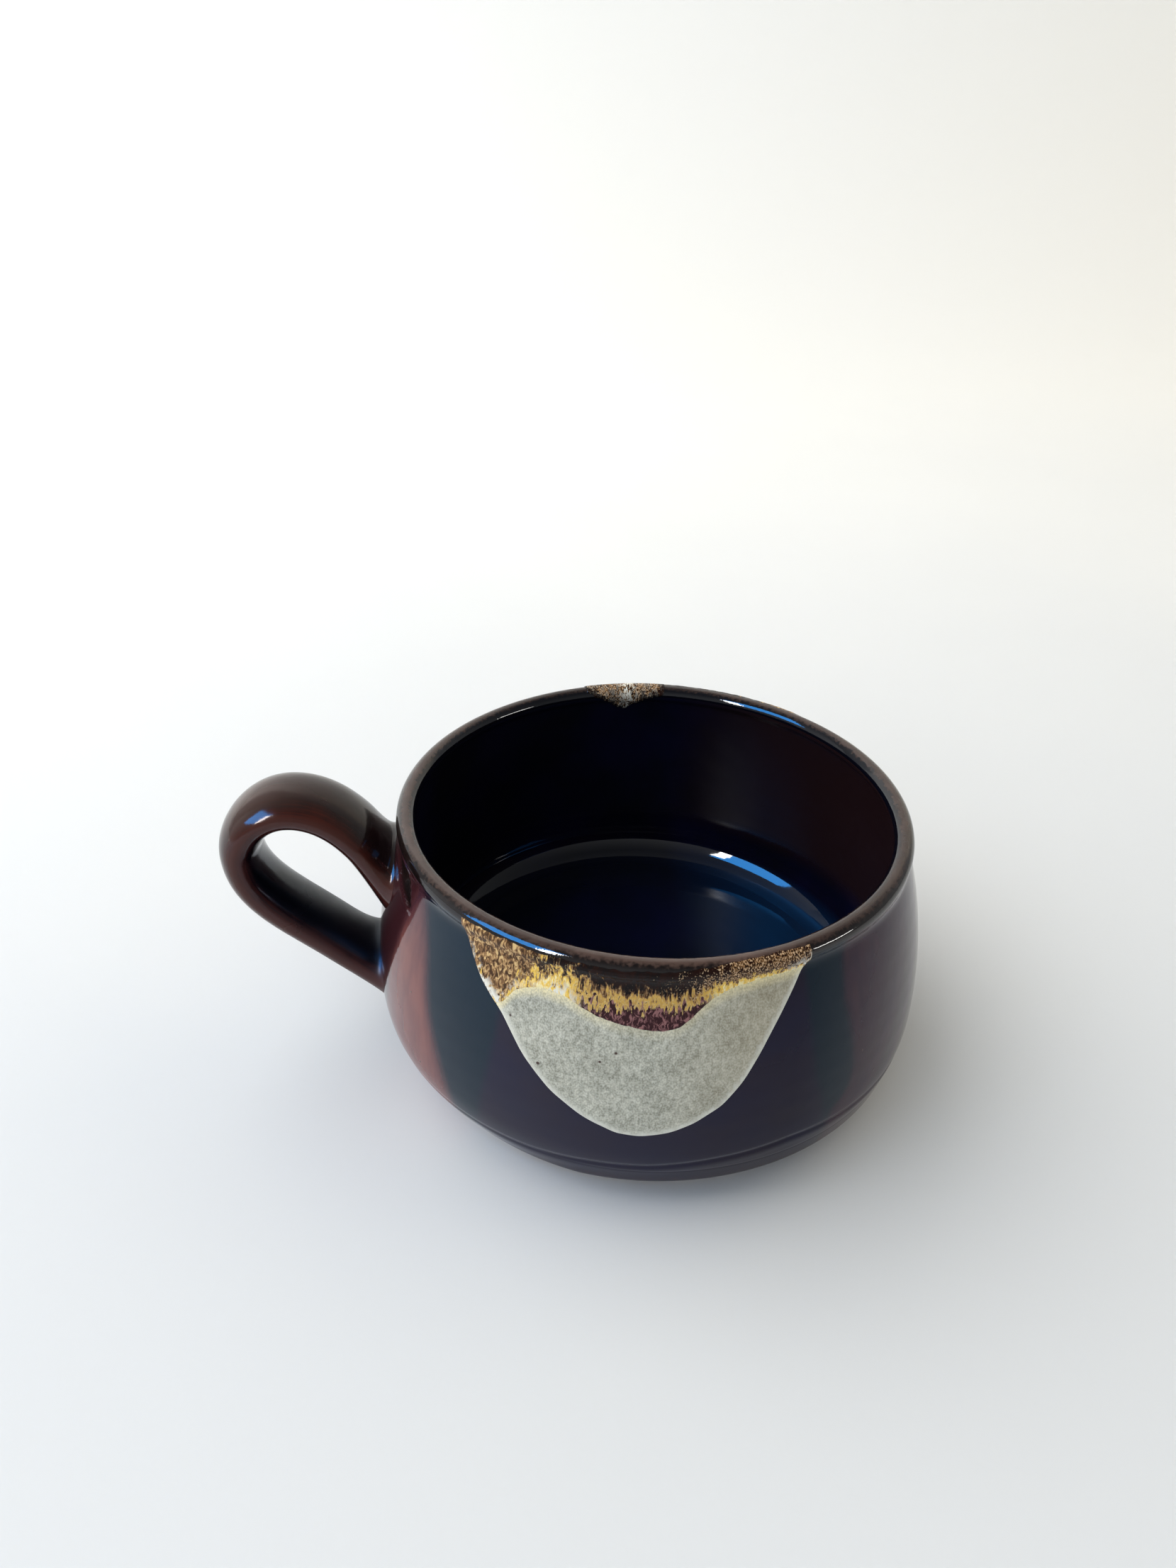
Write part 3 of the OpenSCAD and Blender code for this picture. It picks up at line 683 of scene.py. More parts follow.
def pale_material(name, colours):
    """Matt pale glaze with fine mottle and a cream edge, darker and warmer towards the right end, partly
    glaze colour and partly painted shade.
    """
    paint = Paint(name)
    flat = paint.flat()
    fine = paint.noise((0.36 * MM, 0.46 * MM, 1.0), 3.0, flat)
    grain = paint.noise((1.1 * MM, 1.7 * MM, 1.0), 4.0, flat)
    cloud = paint.noise((6 * MM, 9 * MM, 1.0), 4.0, flat)
    mottle = paint.combine(paint.span(fine, 0.34, 0.66, 0.0, 0.46), paint.span(grain, 0.36, 0.64, 0.0, 0.34))
    mottle = paint.combine(mottle, paint.span(cloud, 0.38, 0.62, 0.0, 0.2))
    shade = paint.blend(mottle, colours.pale_deep, colours.pale)
    # painted shade: the right end of each half-moon is turned darker and warmer, partly glaze colour and
    # partly shade
    shade = paint.blend(paint.value("toast_and_shade"), shade, colours.pale_toasted_and_shaded)
    rim = paint.combine(paint.value("edge"), paint.span(grain, 0.25, 0.75, -0.5 * MM, 0.5 * MM))
    shade = paint.blend(paint.span(rim, 1.7 * MM, 0.1 * MM), shade, colours.pale_edge)
    warm = paint.combine(paint.value("warm"), paint.span(fine, 0.25, 0.75, 0.55, 1.25), "MULTIPLY")
    shade = paint.blend(warm, shade, colours.straw)
    speck = paint.specks(7 * MM, 0.06)
    shade = paint.blend(speck, shade, colours.dark_broken)
    gloss = paint.span(fine, 0.3, 0.7, 0.38, 0.6)
    return paint.finish(shade, gloss, paint.bump(fine, 0.04 * MM, paint.bump(grain, 0.07 * MM)))


def run_material(name, colours):
    """The run: brown ground, golden needles, mauve crystals under them and cream flecks at the edge."""
    paint = Paint(name)
    flat = paint.flat()
    needle = paint.noise((0.5 * MM, 1.9 * MM, 1.0), 4.0, flat, 0.9)
    clump = paint.noise((1.7 * MM, 2.2 * MM, 1.0), 3.0, flat, 0.6)
    strand = paint.noise((1.0 * MM, 3.4 * MM, 1.0), 3.0, flat, 0.8)
    fleck = paint.noise((0.8 * MM, 1.3 * MM, 1.0), 4.0, flat, 0.9)
    ground = paint.blend(paint.span(clump, 0.4, 0.62), colours.chocolate, colours.rim_dark)
    dust = paint.noise((0.34 * MM, 0.44 * MM, 1.0), 3.0, flat)
    gild = paint.value("gild")
    ground = paint.blend(paint.combine(gild, 0.16, "MULTIPLY"), ground, colours.tan)
    grain = paint.between(gild, dust, fleck)
    cover = paint.combine(paint.value("speckle"), paint.span(clump, 0.25, 0.75, -0.35, 0.35))
    sparse = paint.combine(grain, paint.span(cover, 0.0, 1.0, 0.3, 0.0), "SUBTRACT")
    spot = paint.span(sparse, 0.38, 0.58)
    bright = paint.blend(paint.combine(gild, 0.35, "MULTIPLY"), colours.sand, colours.gold)
    ground = paint.blend(spot, ground, paint.blend(paint.span(grain, 0.5, 0.68), colours.tan, bright))
    under = paint.blend(paint.span(fleck, 0.46, 0.64), colours.maroon, colours.mauve)
    band = paint.combine(paint.value("band"), paint.span(needle, 0.2, 0.8, -0.8, 0.8))
    band = paint.combine(band, paint.span(clump, 0.25, 0.75, -0.55, 0.55))
    band = paint.combine(band, paint.span(strand, 0.25, 0.75, -0.8, 0.8))
    stops = [
        (0.12, colours.straw),
        (0.34, colours.gold),
        (0.58, colours.gold),
        (0.74, colours.tan),
        (0.9, colours.chocolate),
    ]
    gilt = paint.ramp(paint.span(band, -1.7, 1.7), stops)
    gilt = paint.blend(paint.span(dust, 0.5, 0.7, 0.0, 0.6), gilt, colours.straw)
    gilt = paint.blend(paint.span(fleck, 0.5, 0.68, 0.0, 0.5), gilt, colours.tan)
    mauve = paint.value("mauve")
    gilt = paint.blend(paint.combine(mauve, 0.5, "MULTIPLY"), gilt, colours.tan)
    shade = paint.blend(paint.span(band, 0.35, 1.5), gilt, ground)
    low = paint.combine(mauve, paint.span(band, -0.55, -0.95), "MULTIPLY")
    shade = paint.blend(low, shade, under)
    blot = paint.between(gild, fleck, paint.noise((1.3 * MM, 1.6 * MM, 1.0), 3.0, flat, 0.6))
    cream = paint.combine(paint.value("cream"), paint.span(blot, 0.44, 0.58), "MULTIPLY")
    shade = paint.blend(cream, shade, colours.fleck)
    gloss = paint.span(band, -1.0, 1.2, 0.32, 0.07)
    paint.mirror(0.14)
    return paint.finish(shade, gloss, paint.bump(needle, 0.05 * MM, paint.bump(clump, 0.06 * MM)))


def floor_material(name, stage):
    """Pale paper with a faint grain, darker and cooler near the mug and lighter towards the backdrop: a
    painted fall-off of the light.
    """
    paint = Paint(name)
    cloud = paint.span(paint.noise(0.35, 3.0), 0.3, 0.7, -0.06, 0.06)
    # painted light: the floor brightens from the front towards the back
    depth = paint.put("ShaderNodeSeparateXYZ", Vector=paint.place).outputs["Y"]
    shade = paint.blend(paint.span(paint.combine(depth, cloud), -0.15, 0.75), stage.floor, stage.backdrop)
    grain = paint.noise(1.2 * MM, 3.0)
    return paint.finish(shade, paint.span(grain, 0.3, 0.7, 0.75, 0.9), paint.bump(grain, 0.02 * MM))


class Dip:
    """One half-moon: its dipped edge on the wall and the lower edge of the run inside it."""

    EDGE_POINTS, SOFT_POINTS = 600, 15

    def __init__(self, wall, turn, drop, seed, moon_edge, run_edge):
        self.wall, self.turn, self.seed = wall, turn, seed
        deepest = max(place[1] for place in moon_edge) * MM
        self.moon_edge = [(off, below * drop / deepest) for off, below in moon_edge]
        self.run_edge = run_edge

    def edge_s(self, turn, table, ripple):
        """Length along the outside of an edge given as degrees from the middle and drops below the rim."""
        places, drops = np.array(table).T
        fine = np.linspace(places[0], places[-1], self.EDGE_POINTS)
        spread = np.exp(-0.5 * np.linspace(-2.5, 2.5, 2 * self.SOFT_POINTS + 1) ** 2)
        padded = np.pad(np.interp(fine, places, drops), self.SOFT_POINTS, mode="reflect", reflect_type="odd")
        soft = np.convolve(padded, spread / spread.sum(), mode="valid")
        drop = np.interp(np.degrees(turn - self.turn), fine, soft) * MM
        return self.wall.outside_s(self.wall.bowl.height - drop + ripple)

    def moon_s(self, turn):
        """Length along the outside of the dipped edge."""
        ripple = 0.14 * MM * wander(turn, self.seed, (9, 17, 31, 53, 97), 0.8)
        return self.edge_s(turn, self.moon_edge, ripple)

    def run_s(self, turn):
        """Length along the outside of the run's lower edge."""
        ripple = 0.22 * MM * wander(turn, self.seed + 1, (17, 31, 53, 89, 143, 211), 0.9)
        return self.edge_s(turn, self.run_edge, ripple)

    def columns(self, count):
        """Directions from one end of the half-moon to the other."""
        ends = np.radians([self.moon_edge[0][0], self.moon_edge[-1][0]])
        return self.turn + np.linspace(ends[0], ends[1], count)


def edge_gap(flat, edges):
    """Distance of each point of an unrolled patch from a set of edge points."""
    tree = KDTree(len(edges))
    for n, (u, v) in enumerate(edges):
        tree.insert((u, v, 0.0), n)
    tree.balance()
    points = flat.reshape(-1, 2)
    gaps = np.array([tree.find((u, v, 0.0))[2] for u, v in points])
    return gaps.reshape(flat.shape[:2])


def rolled(gap, roll):
    """Share of the full thickness at a distance from a rounded edge."""
    return np.sqrt(1.0 - (1.0 - climb(gap, 0.0, roll)) ** 2)


def patch_grid(dip, turn, low, high, rows):
    """Directions, lengths and unrolled coordinates of a patch between two edges."""
    t = np.linspace(0.0, 1.0, rows)[:, None]
    s = low[None, :] + t * (high - low)[None, :]
    turns = np.broadcast_to(turn[None, :], s.shape)
    flat = np.stack([(turns - dip.turn) * dip.wall.belly, s], axis=-1)
    return turns, s, flat


# Columns and rows of the patches
PALE_GRID, RUN_GRID, TONGUE_GRID = (560, 120), (700, 90), (141, 70)
# Edges of the dips as degrees from the middle of the half-moon and drops below the rim in millimetres
FRONT_MOON_EDGE = [
    (-38.4, 3.2), (-37.6, 4.8), (-31.7, 12.0), (-26.1, 16.6), (-21, 23.8), (-15.8, 29.4),
    (-9.4, 34.3), (-2.9, 37.4), (1.6, 37.7), (5.9, 36.6), (10.3, 34.4), (15.6, 30.3),
    (19.1, 25.6), (22.4, 19.7), (25.5, 14.3), (28.6, 9.6), (32.4, 4.2), (33.2, 3.2),
]
FRONT_RUN_EDGE = [
    (-41, 20.0), (-26.2, 14.6), (-24.4, 11.0), (-19.5, 8.8), (-14, 9.1), (-9, 11.5), (-4, 12.7),
    (3.5, 13.7), (7, 12.9), (10, 10.3), (13, 7.6), (17, 6.0), (22, 4.9), (33.2, 4.6),
]
BACK_MOON_EDGE = [
    (-30, 3.2), (-25.5, 9), (-22, 13), (-17, 19), (-12, 24), (-6, 27.8), (0, 29),
    (6, 27.8), (12, 24), (17, 19), (22, 13), (25.5, 9), (30, 3.2),
]
BACK_RUN_EDGE = [
    (-41, 6.5), (-24, 6.2), (-14, 7.0), (-6, 11.0), (2, 13.2), (8, 11.6), (14, 8.0), (22, 6.4), (33, 5.6),
]
# How far the runs creep up over the rim, as degrees and millimetres along the surface
FRONT_CREEP = [(-40, 4, 14, 26, 33), (0.9, 0.9, 2.0, 2.8, 2.2)]
BACK_CREEP = [(-30, -26, 12, 30), (1.8, 2.9, 2.9, 2.0)]
# Height of the golden band above the run's lower edge, and its half width, in millimetres
RUN_PLACES = [-40, -26, -18, -12, -7, -2, 3, 7, 10, 14, 22, 33]
RUN_BAND = [-3.0, -0.6, 2.6, 3.0, 4.3, 5.6, 6.2, 5.4, 3.4, 1.6, 1.0, 0.4]
RUN_WIDTH = [1.6, 2.6, 4.3, 3.6, 1.9, 1.5, 1.5, 1.6, 1.5, 1.3, 1.0, 0.8]
# Start and width, in degrees, of the gilded left, the sandy right, the cream right end and the mauve's ends
GILDED, SANDY, CREAM_END = (17.0, 6.0), (1.0, 16.0), (27.0, 4.0)
MAUVE_FROM, MAUVE_TO = (-14.0, 3.5), (-14.5, 3.0)
# Strength, middle and width in degrees of the cream spots, and how high they reach in millimetres
CREAM_SPOTS = [(1.2, -29.0, 5.0), (0.9, -15.5, 3.5)]
CREAM_REACH = 3.2
# Shares of a layer's lift by which its edge lies under the surface
PALE_SINK, RUN_SINK = 0.2, 0.12


def half_moons(wall, sizes):
    """The front and the back dip."""
    return (
        Dip(wall, sizes.front_turn, sizes.front_drop, FRONT_SEED, FRONT_MOON_EDGE, FRONT_RUN_EDGE),
        Dip(wall, sizes.back_turn, sizes.back_drop, BACK_SEED, BACK_MOON_EDGE, BACK_RUN_EDGE),
    )


def pale_patch(name, dip, sizes):
    """The pale half-moon, from the dipping line up to a little under the run."""
    columns, rows = PALE_GRID
    turn = dip.columns(columns)
    low, high = dip.moon_s(turn), dip.run_s(turn)
    keep = high - low > 0.15 * MM
    turn, low, high = turn[keep], low[keep], high[keep]
    turns, s, flat = patch_grid(dip, turn, low, high + 0.5 * MM, rows)
    gap = edge_gap(flat, flat[0])
    under_run = 1.0 - climb(high - s, 0.0, 2.2 * MM)
    off = np.degrees(turns - dip.turn)
    sides = climb(np.abs(off - 2.0), 4.9, 14.0)
    lift = sizes.pale_lift * (rolled(gap, sizes.edge_roll) - PALE_SINK)
    # toast: partly glaze colour, partly painted shade towards the right end
    values = {"edge": gap, "warm": under_run * (0.2 + 0.55 * sides), "toast_and_shade": 0.38 * climb(off, 3.0, 20.0)}
    return make_piece(name, dip.wall.surface(turns, s, lift), uv=flat, values=values)


def run_patch(name, dip, sizes, creep):
    """The run, from the shoulder of the rim down to its lower edge."""
    columns, rows = RUN_GRID
    turn = dip.columns(columns)
    low = np.maximum(dip.moon_s(turn), dip.run_s(turn))
    ragged = 0.3 * MM * wander(turn, dip.seed + 2, (23, 41, 67, 113, 179), 0.9)
    high = dip.wall.rim_out + np.interp(np.degrees(turn - dip.turn), *creep) * MM + ragged
    turns, s, flat = patch_grid(dip, turn, low, high, rows)
    gap = edge_gap(flat, np.vstack([flat[0], flat[:, 0], flat[:, -1]]))
    off = np.degrees(turns - dip.turn)
    up = (s - low) / MM
    middle, width = (np.interp(off, RUN_PLACES, table) for table in (RUN_BAND, RUN_WIDTH))
    gild = climb(-off, *GILDED)
    cream = sum(strength * bell(off, *spot) for strength, *spot in CREAM_SPOTS) + climb(off, *CREAM_END)
    values = {
        "band": (up - middle) / width,
        "mauve": climb(off, *MAUVE_FROM) * climb(-off, *MAUVE_TO),
        "gild": gild,
        "speckle": np.clip(gild + 0.85 * climb(off, *SANDY), 0.0, 1.0),
        "cream": 1.4 * cream * (1.0 - climb(up, 0.0, CREAM_REACH)),
    }
    lift = sizes.run_lift * (rolled(gap, sizes.edge_roll) - RUN_SINK)
    lift = lift * np.clip((high - s) / (1.2 * MM), RUN_SINK, 1.0)
    return make_piece(name, dip.wall.surface(turns, s, lift), uv=flat, values=values)


def tongue_patch(name, dip, sizes):
    """The pale tongue that crosses the back lip and points down inside, with thin wings along the rim."""
    wall = dip.wall
    columns, rows = TONGUE_GRID
    share = np.linspace(-1.0, 1.0, columns)
    turn = dip.turn + sizes.tongue_turn + sizes.tongue_w / 2 / (wall.bowl.rim_d / 2) * share
    ragged = 0.7 * MM * wander(turn * 9.0, TONGUE_SEED, (3, 7, 13, 29))
    wing = 1.2 * MM
    below = wing + (sizes.tongue_h - wing) * (1.0 - np.abs(share)) ** 1.3
    inside = wall.s > wall.rim_in - 2.4 * MM
    order = np.argsort(wall.z[inside])
    end = np.interp(wall.bowl.height - below + ragged, wall.z[inside][order], wall.s[inside][order])
    start = wall.rim_out + 0.5 * MM + 1.4 * MM * np.abs(share)
    turns, s, flat = patch_grid(dip, turn, start, np.maximum(end, start + 1.6 * MM), rows)
    gap = edge_gap(flat, np.vstack([flat[0], flat[-1], flat[:, 0], flat[:, -1]]))
    core = 1.0 - climb(np.abs(share + 0.06), 0.0, 0.26)
    inward = climb(gap, 0.0, 1.6 * MM)
    cream = (0.16 + 0.95 * core) * inward
    values = {"band": 2.2, "mauve": 0.0, "gild": 0.0, "speckle": 0.8 * inward, "cream": cream}
    lift = sizes.run_lift * (rolled(gap, sizes.edge_roll) - RUN_SINK)
    return make_piece(name, wall.surface(turns, s, lift), uv=flat, values=values)


class Strap:
    """Rings of the glazed strap and its flared joints, from the upper wall round to the lower wall."""

    STRAP_FROM, STRAP_TO = 0.42, 2.74
    FLARE_SHARE, FLARE_LIFT = 0.86, 1.2 * MM
    SEAT_SHARE, SEAT_SINK = 1.04, 0.25 * MM
    FLARE_RINGS, STRAP_RINGS = 40, 200
    # Reach of the loop's curves at its start, top, outermost point and end, as shares of the chords
    FROM_START, TO_TOP, FROM_TOP, TO_OUT, FROM_OUT, TO_END = 0.29, 0.38, 0.41, 0.31, 0.32, 0.43

    def __init__(self, wall, sizes):
        self.wall, self.sizes = wall, sizes
        bowl = wall.bowl
        upper_z = bowl.height - sizes.upper_drop - sizes.upper_h / 2
        lower_z = bowl.crease_z + sizes.lower_lift + sizes.lower_h / 2
        self.upper = (upper_z, sizes.upper_w / 2, sizes.upper_h / 2, 1.0)
        self.lower = (lower_z, sizes.lower_w / 2, sizes.lower_h / 2, -1.0)
        start = np.array([self.radius(upper_z), upper_z])
        top = np.array([wall.belly + sizes.top_reach, bowl.height + sizes.rise])
        out = np.array([wall.belly + sizes.reach, top[1] - sizes.drop])
        end = np.array([self.radius(sizes.end_z), sizes.end_z])
        top_arm, out_arm, low_arm = (np.linalg.norm(d) for d in (top - start, out - top, end - out))
        up_way = np.array([math.cos(sizes.upper_angle), math.sin(sizes.upper_angle)])
        low_way = np.array([math.cos(sizes.lower_angle), math.sin(sizes.lower_angle)])
        self.loop = [
            (start, start + self.FROM_START * top_arm * up_way, top - [self.TO_TOP * top_arm, 0.0], top),
            (top, top + [self.FROM_TOP * out_arm, 0.0], out + [0.0, self.TO_OUT * out_arm], out),
            (out, out - [0.0, self.FROM_OUT * low_arm], end + self.TO_END * low_arm * low_way, end),
        ]
        self.around = np.linspace(0.0, TAU, sizes.sides, endpoint=False)

    def radius(self, z):
        """Radius of the outside wall at a height, as a plain number."""
        return float(self.wall.radius(np.array(z)))

    @staticmethod
    def curve(p, t):
        """Point on a cubic curve."""
        return (1 - t) ** 3 * p[0] + 3 * t * (1 - t) ** 2 * p[1] + 3 * t * t * (1 - t) * p[2] + t**3 * p[3]

    def middle(self, s):
        """Point and direction of the strap's middle line."""
        k = min(int(s), 2)
        p, t = self.loop[k], s - k
        way = (1 - t) ** 2 * (p[1] - p[0]) + 2 * t * (1 - t) * (p[2] - p[1]) + t * t * (p[3] - p[2])
        return self.curve(p, t), way / np.linalg.norm(way)

    def strap_ring(self, s, coat):
        """Oval ring square to the middle line."""
        centre, way = self.middle(s)
        pull = 1.0 + 0.012 * math.sin(2.3 * s + 0.4)
        half_w = self.sizes.strap_w / 2 * pull + self.sizes.strap_flare / 2 * max(0.0, 1.0 - s) ** 2 + coat
        lift = (self.sizes.strap_t / 2 + coat) * np.sin(self.around)
        return np.column_stack(
            [-(centre[0] - way[1] * lift), half_w * np.cos(self.around), centre[1] + way[0] * lift]
        )

    def wall_ring(self, foot, share, coat, lift):
        """Oval ring of a joint on the wall."""
        y = share * (foot[1] + coat) * np.cos(self.around)
        z = foot[0] + share * (foot[2] + coat) * foot[3] * np.sin(self.around)
        return np.column_stack([-np.sqrt(self.wall.radius(z) ** 2 - y * y) - lift, y, z])

    def flare(self, foot, s, coat):
        """Rings from the strap's end to a joint's foot on the wall."""
        centre, way = self.middle(s)
        arm = np.linalg.norm(centre - np.array([self.radius(foot[0]), foot[0]])) / 3
        begin = self.strap_ring(s, coat)
        step = arm * foot[3] * np.array([way[0], 0.0, -way[1]])
        turn = self.wall_ring(foot, self.FLARE_SHARE, coat, self.FLARE_LIFT)
        to = self.wall_ring(foot, self.SEAT_SHARE, coat, -self.SEAT_SINK)
        shares = np.linspace(0.0, 1.0, self.FLARE_RINGS)[1:]
        return [self.curve((begin, begin + step, turn, to), t) for t in shares]

    def rings(self, coat):
        """All rings, from the upper joint's foot to the lower one's."""
        up = self.flare(self.upper, self.STRAP_FROM, coat)
        places = np.linspace(self.STRAP_FROM, self.STRAP_TO, self.STRAP_RINGS)
        run = [self.strap_ring(s, coat) for s in places]
        low = self.flare(self.lower, self.STRAP_TO, coat)
        return np.array(up[::-1] + run + low)


# Strength of the dark glaze's mirror, by degrees round from +X: strong on the lit left and weak on the
# right, a painted sheen and painted shade
MIRROR = [(0, 30, 110, 190, 240, 262, 290, 325, 360), (0.28, 0.26, 0.4, 0.44, 0.44, 0.36, 0.2, 0.26, 0.28)]
# How far the glaze has broken over the crest of the rim, by degrees round from +X, with a painted sheen:
# lightest at the front and left, darkest at the back
RIM_BREAK_AND_SHEEN = [
    (0, 30, 60, 75, 115, 135, 150, 180, 240, 262, 280, 300, 330, 360),
    (0.6, 0.6, 0.5, 0.25, 0.25, 0.5, 0.65, 0.65, 0.62, 0.95, 0.95, 0.45, 0.42, 0.6),
]
# Edges of the colour zones of the dark glaze, as heights in millimetres and degrees round from +X; the zones
# are partly glaze colour and partly painted reflection of the floor, in bands up the wall
RUST_END = [(14, 19, 26, 35, 41, 47, 56), (221.6, 220.4, 218.0, 214.8, 213.3, 212.0, 208.0)]
MAROON_END = [(14, 38, 50, 56), (194.0, 200.4, 203.4, 205.0)]
LEFT_TEAL_END = [(14, 19, 30, 39, 56), (229.2, 230.0, 231.6, 233.0, 233.6)]
RIGHT_TEAL_START = [(16, 26, 31, 42, 56), (298.0, 296.0, 294.4, 293.2, 292.3)]
RIGHT_TEAL_END = [
    (16, 20, 21.5, 24, 29, 35, 46, 56),
    (298.5, 299.5, 301.5, 303.4, 304.2, 303.6, 301.6, 302.2),
]
# How strong the rust is round from +X, and up the wall; the rust is partly thin glaze and partly a painted
# reflection of the brightly lit floor
RUST_ROUND = [(0.0, 110.0, 150.0, 190.0, 360.0), (1.0, 0.45, 0.45, 1.0, 1.0)]
RUST_UP = [(42.0, 55.0), (1.0, 0.35)]
# Sum of two directions that mirror each other from the front to the back
MIRRORED = 330.0


def glaze_zones(turn, z):
    """Shares of rust, teal and maroon by direction and height in millimetres; the back mirrors the front.
    Rust and teal are partly painted reflection of the floor.
    """
    strength = around(turn, RUST_ROUND) * np.interp(z, *RUST_UP)
    place = np.degrees(turn) % 360.0
    place = np.where(place < 180.0, MIRRORED - place, place)

    def past(edge, soft):
        """Nought before an edge that runs up the wall and one after it, over some degrees."""
        t = climb(place - np.interp(z, *edge), -soft / 2, soft)
        return t * t * (3.0 - 2.0 * t)

    left, right = past(RUST_END, 5.5), past(RIGHT_TEAL_END, 2.6)
    teal_and_reflection = left * (1.0 - past(LEFT_TEAL_END, 2.0)) + past(RIGHT_TEAL_START, 2.2) * (1.0 - right)
    rust_and_reflection = strength * (1.0 - left) + 0.16 * right
    return rust_and_reflection, np.clip(teal_and_reflection, 0.0, 1.0), 1.0 - past(MAROON_END, 3.0)


class SoupMugOperator(bpy.types.Operator):
    """Common ground of the steps."""

    bl_options = {"REGISTER", "UNDO"}

    @property
    def mug(self):
        """Settings of the soup mug."""
        return bpy.context.scene.soup_mug

    @property
    def turn(self):
        """Directions of the columns round the bowl, as one row."""
        return np.linspace(0.0, TAU, self.mug.bowl.columns, endpoint=False)[None, :]


class SOUPMUG_OT_clay(SoupMugOperator):
    """Give the clay bodies their fired surface"""

    bl_idname = "soup_mug.clay"
    bl_label = "Clay"

    def execute(self, context):
        colours = self.mug.colours
        body = clay_material("Stoneware", colours)
        slip = clay_material("Joining clay", colours)
        coats = {"thrown_bowl": body, "handle": body, "upper_joint": slip, "lower_joint": slip}
        for node, material in coats.items():
            piece = bpy.data.objects[node]
            piece.data.materials.clear()
            piece.data.materials.append(material)
        return {"FINISHED"}


class SOUPMUG_OT_outer_glaze(SoupMugOperator):
    """Pour the dark glaze over the outside, down to the bare foot"""

    bl_idname = "soup_mug.outer_glaze"
    bl_label = "Outer glaze"

    def execute(self, context):
        bowl = self.mug.bowl
        wall, turn = Wall(bowl), self.turn
        first = float(wall.outside_s(bowl.bare_foot))
        # Heights of the rows in millimetres along the wall, closer at the rolled edge and at the groove
        edge, band = [0.0, 0.03, 0.1, 0.22, 0.4], np.arange(0.65, 12.0, 0.3)
        groove, side = np.arange(12.0, 20.0, 0.16), np.arange(20.0, (wall.rim_out - first) / MM, 0.4)
        up = np.concatenate([edge, band, groove, side]) * MM
        s = np.append(first + up, wall.rim_out)[:, None]
        ragged = 0.35 * MM * wander(turn, FOOT_SEED, (3, 7, 13, 23, 41), 0.85)
        s = s + ragged * np.exp(-(s - first) / (1.5 * MM))
        roll = bowl.glaze_t * (rolled(s - s[:1], 0.55 * MM) - 1.0)
        points = wall.surface(turn, s, roll)
        z = points[..., 2]
        thin = 0.75 * np.exp(-((s - s[:1]) / (0.9 * MM))) + 0.5 * bell(z, bowl.knee_z, 1.6 * MM)
        # rust and teal shares: partly glaze colour, partly painted reflection of the floor
        rust_and_reflection, teal_and_reflection, deep = glaze_zones(turn, z / MM)
        # share of the pocket: it is painted near-black and given a weaker mirror, painted shade in the dent
        sunk = joint_pocket(turn, z)[0]
        # mirror strength by direction: painted sheen on the lit left, painted shade on the right
        mirror = around(turn, MIRROR) * (1.0 - 0.6 * sunk)
        values = {"thin": thin, "rust_and_reflection": rust_and_reflection, "teal_and_reflection": teal_and_reflection, "deep": deep, "pocket": sunk, "mirror": mirror}
        piece = make_piece("outside_dark_glaze", points, closed=True, values=values)
        hand_in(piece, dark_material("Dark glaze", self.mug.colours), "dark_glaze", "outer_glaze")
        return {"FINISHED"}


class SOUPMUG_OT_rim_glaze(SoupMugOperator):
    """Lay the glaze over the rounded rim, where it breaks brown"""

    bl_idname = "soup_mug.rim_glaze"
    bl_label = "Rim glaze"

    def execute(self, context):
        wall, turn = Wall(self.mug.bowl), self.turn
        s = np.linspace(wall.rim_out, wall.rim_in, RIM_ROWS)[:, None]
        over = (s - wall.rim_out) / (wall.rim_in - wall.rim_out)
        values = {"over": over, "bare": around(turn, RIM_BREAK_AND_SHEEN)}
        piece = make_piece("rim_glaze_band", wall.surface(turn, s), closed=True, values=values)
        hand_in(piece, rim_material("Rim glaze", self.mug.colours), "rim_glaze", "rim_glaze")
        return {"FINISHED"}


class SOUPMUG_OT_liner_glaze(SoupMugOperator):
    """Pour the liner inside the bowl"""

    bl_idname = "soup_mug.liner_glaze"
    bl_label = "Liner glaze"

    def execute(self, context):
        bowl = self.mug.bowl
        wall, turn = Wall(bowl), self.turn
        floor = wall.end - (wall.belly - bowl.wall_t - bowl.floor_r)
        steep = np.arange(wall.rim_in, floor, 0.4 * MM)
        level = np.append(np.arange(floor, wall.end - 0.4 * MM, 1.0 * MM), wall.end - 0.03 * MM)
        s = np.append(steep, level)[:, None]
        r = wall.at(s)[0]
        spiral = np.sin(TAU * r / (6.5 * MM) + turn) * climb(r, 0.0, 12 * MM) * (s > floor)
        points = wall.surface(turn, s, 0.03 * MM * spiral)
        x, z = points[..., 0], points[..., 2]
        # share of the right side, where light falls in through the mouth: the liner's maroon and blue pool
        # are painted there as light
        over = climb(x, 13 * MM, 22 * MM)
        low = climb(-z, -21 * MM, 6 * MM)
        pool = (0.1 + 0.9 * over) * climb(-z, -11 * MM, 4 * MM)
        values = {"pool": pool, "warm": over * (1.0 - low), "low": low}
        piece = make_piece("inside_liner_glaze", points, closed=True, values=values)
        hand_in(piece, liner_material("Liner glaze", self.mug.colours), "liner_glaze", "liner_glaze")
        return {"FINISHED"}


